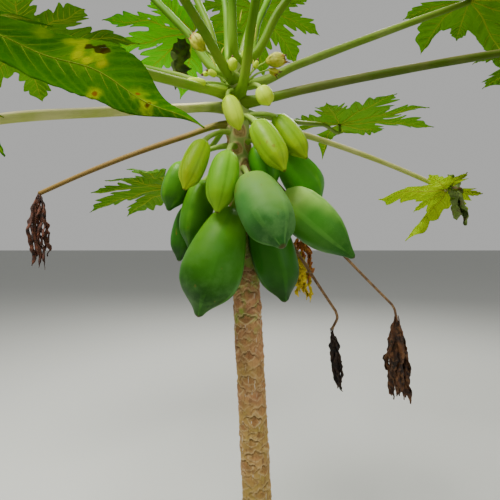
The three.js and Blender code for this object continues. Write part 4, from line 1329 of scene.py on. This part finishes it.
def add_petals(start, way, length, open_by, seed):
    """A closed or half-open flower: curved narrow petals round one axis, dark at their tips."""
    dice = np.random.default_rng(seed)
    way = unit(np.array(way, float))
    side = unit(np.cross(way, (0.3, 0.2, 1)))
    lift = np.cross(way, side)
    t, s = np.linspace(0, 1, PETAL_ROWS)[:, None], np.linspace(-1, 1, PETAL_COLUMNS)[None, :]
    swell = np.sin(math.pi * np.clip(t * 0.92 + 0.04, 0, 1))
    wide = length * 0.30 * swell**0.7
    _, faces = sheet(PETAL_ROWS, PETAL_COLUMNS)
    along = np.tile(np.repeat(t.ravel(), PETAL_COLUMNS), 2)
    for k in range(PETALS):
        angle = 2 * math.pi * k / PETALS + dice.uniform(-0.2, 0.2)
        out = side * math.cos(angle) + lift * math.sin(angle)
        across = np.cross(way, out)
        away = length * (0.26 * swell + open_by * t**2) * dice.uniform(0.85, 1.15)
        points = start + (way * length * dice.uniform(0.85, 1.1)) * t[..., None] + out * away[..., None]
        points = points + across * (wide * s)[..., None] - out * (wide * 0.5 * s**2)[..., None]
        young.add(*closed_sheet(points.reshape(-1, 3), faces, PETAL_THICK), PETAL, along=along)
        tip = points[-1, PETAL_COLUMNS // 2]
        add_mark(tip, way + out * 0.4, -0.002, 0.006, [0.0014, 0.0012, 0.0009, 0.0004], 6)


print("finishes of this piece:", SKIN, STALK, PETAL, MARK)

# %% Young fruit, flowers and slips placed
for number, (base, turn, shoulder, tip, radius, form) in enumerate(YOUNG_FRUIT):
    rib = 0.012 if number < WITHOUT_MARK else 0.01
    add_fruit(young, fruit("", base, turn, shoulder, tip, radius, "baby", form, rib), 90 + number)
for number, (start, way, length) in enumerate(SLIPS):
    along = np.linspace(0, 1, 10)
    line = np.array(start) + np.outer(along * length, unit(np.array(way, float)))
    line = line + np.outer(0.006 * along**2, compass(50 * number))
    radii = 0.0034 * np.sin(math.pi * (along * 0.9 + 0.06)) ** 0.8
    young.add(*tube(line, radii, 8, np.tile([1, 0.7, 0.35, 0.7], 2)[None, :]), PETAL)
for number, (start, way, length, opening, foot) in enumerate(FLOWERS):
    start, foot = np.array(start), np.array(foot)
    middle = (start + foot) / 2 + (0, 0, 0.008)
    line = smooth_line([foot, middle, start], 14)
    add_stalk(young, line, 0.0026, 0.8, finish=STALK, foot=0.5, seed=number)
    add_petals(start - np.array(way) * 0.002, way, length, opening, 70 + number)
for _, _, shoulder, tip, *_ in YOUNG_FRUIT[WITHOUT_MARK:]:
    way = unit(np.array(tip) - shoulder)
    add_mark(np.array(tip), way, -0.002, 0.004, [0.0035, 0.0032, 0.0022, 0.0010], 8)

petals = Finish("petals", "d4d044")
petals.lay("a8b018", petals.patches(120, 3, 0.3, 0.7))
petals.lay("9c6418", petals.step(petals.value("along") + petals.noise(150, 3) * 0.5, 1.08, 1.2))
dried_tip = Finish("dried_tip", "2c1c0c")
dried_tip.lay("70501c", dried_tip.noise(200, 2))
finishes = [FRUIT_FINISHES["baby"], STALK_FINISHES["fruit"]]
finishes += [petals.surface(0.6, glow="d8dc50", share=0.25), dried_tip.surface(0.8)]
young.piece("young_fruit_and_flowers", finishes)
print("young fruit and flowers", len(young.faces), "faces")

# %% [markdown]
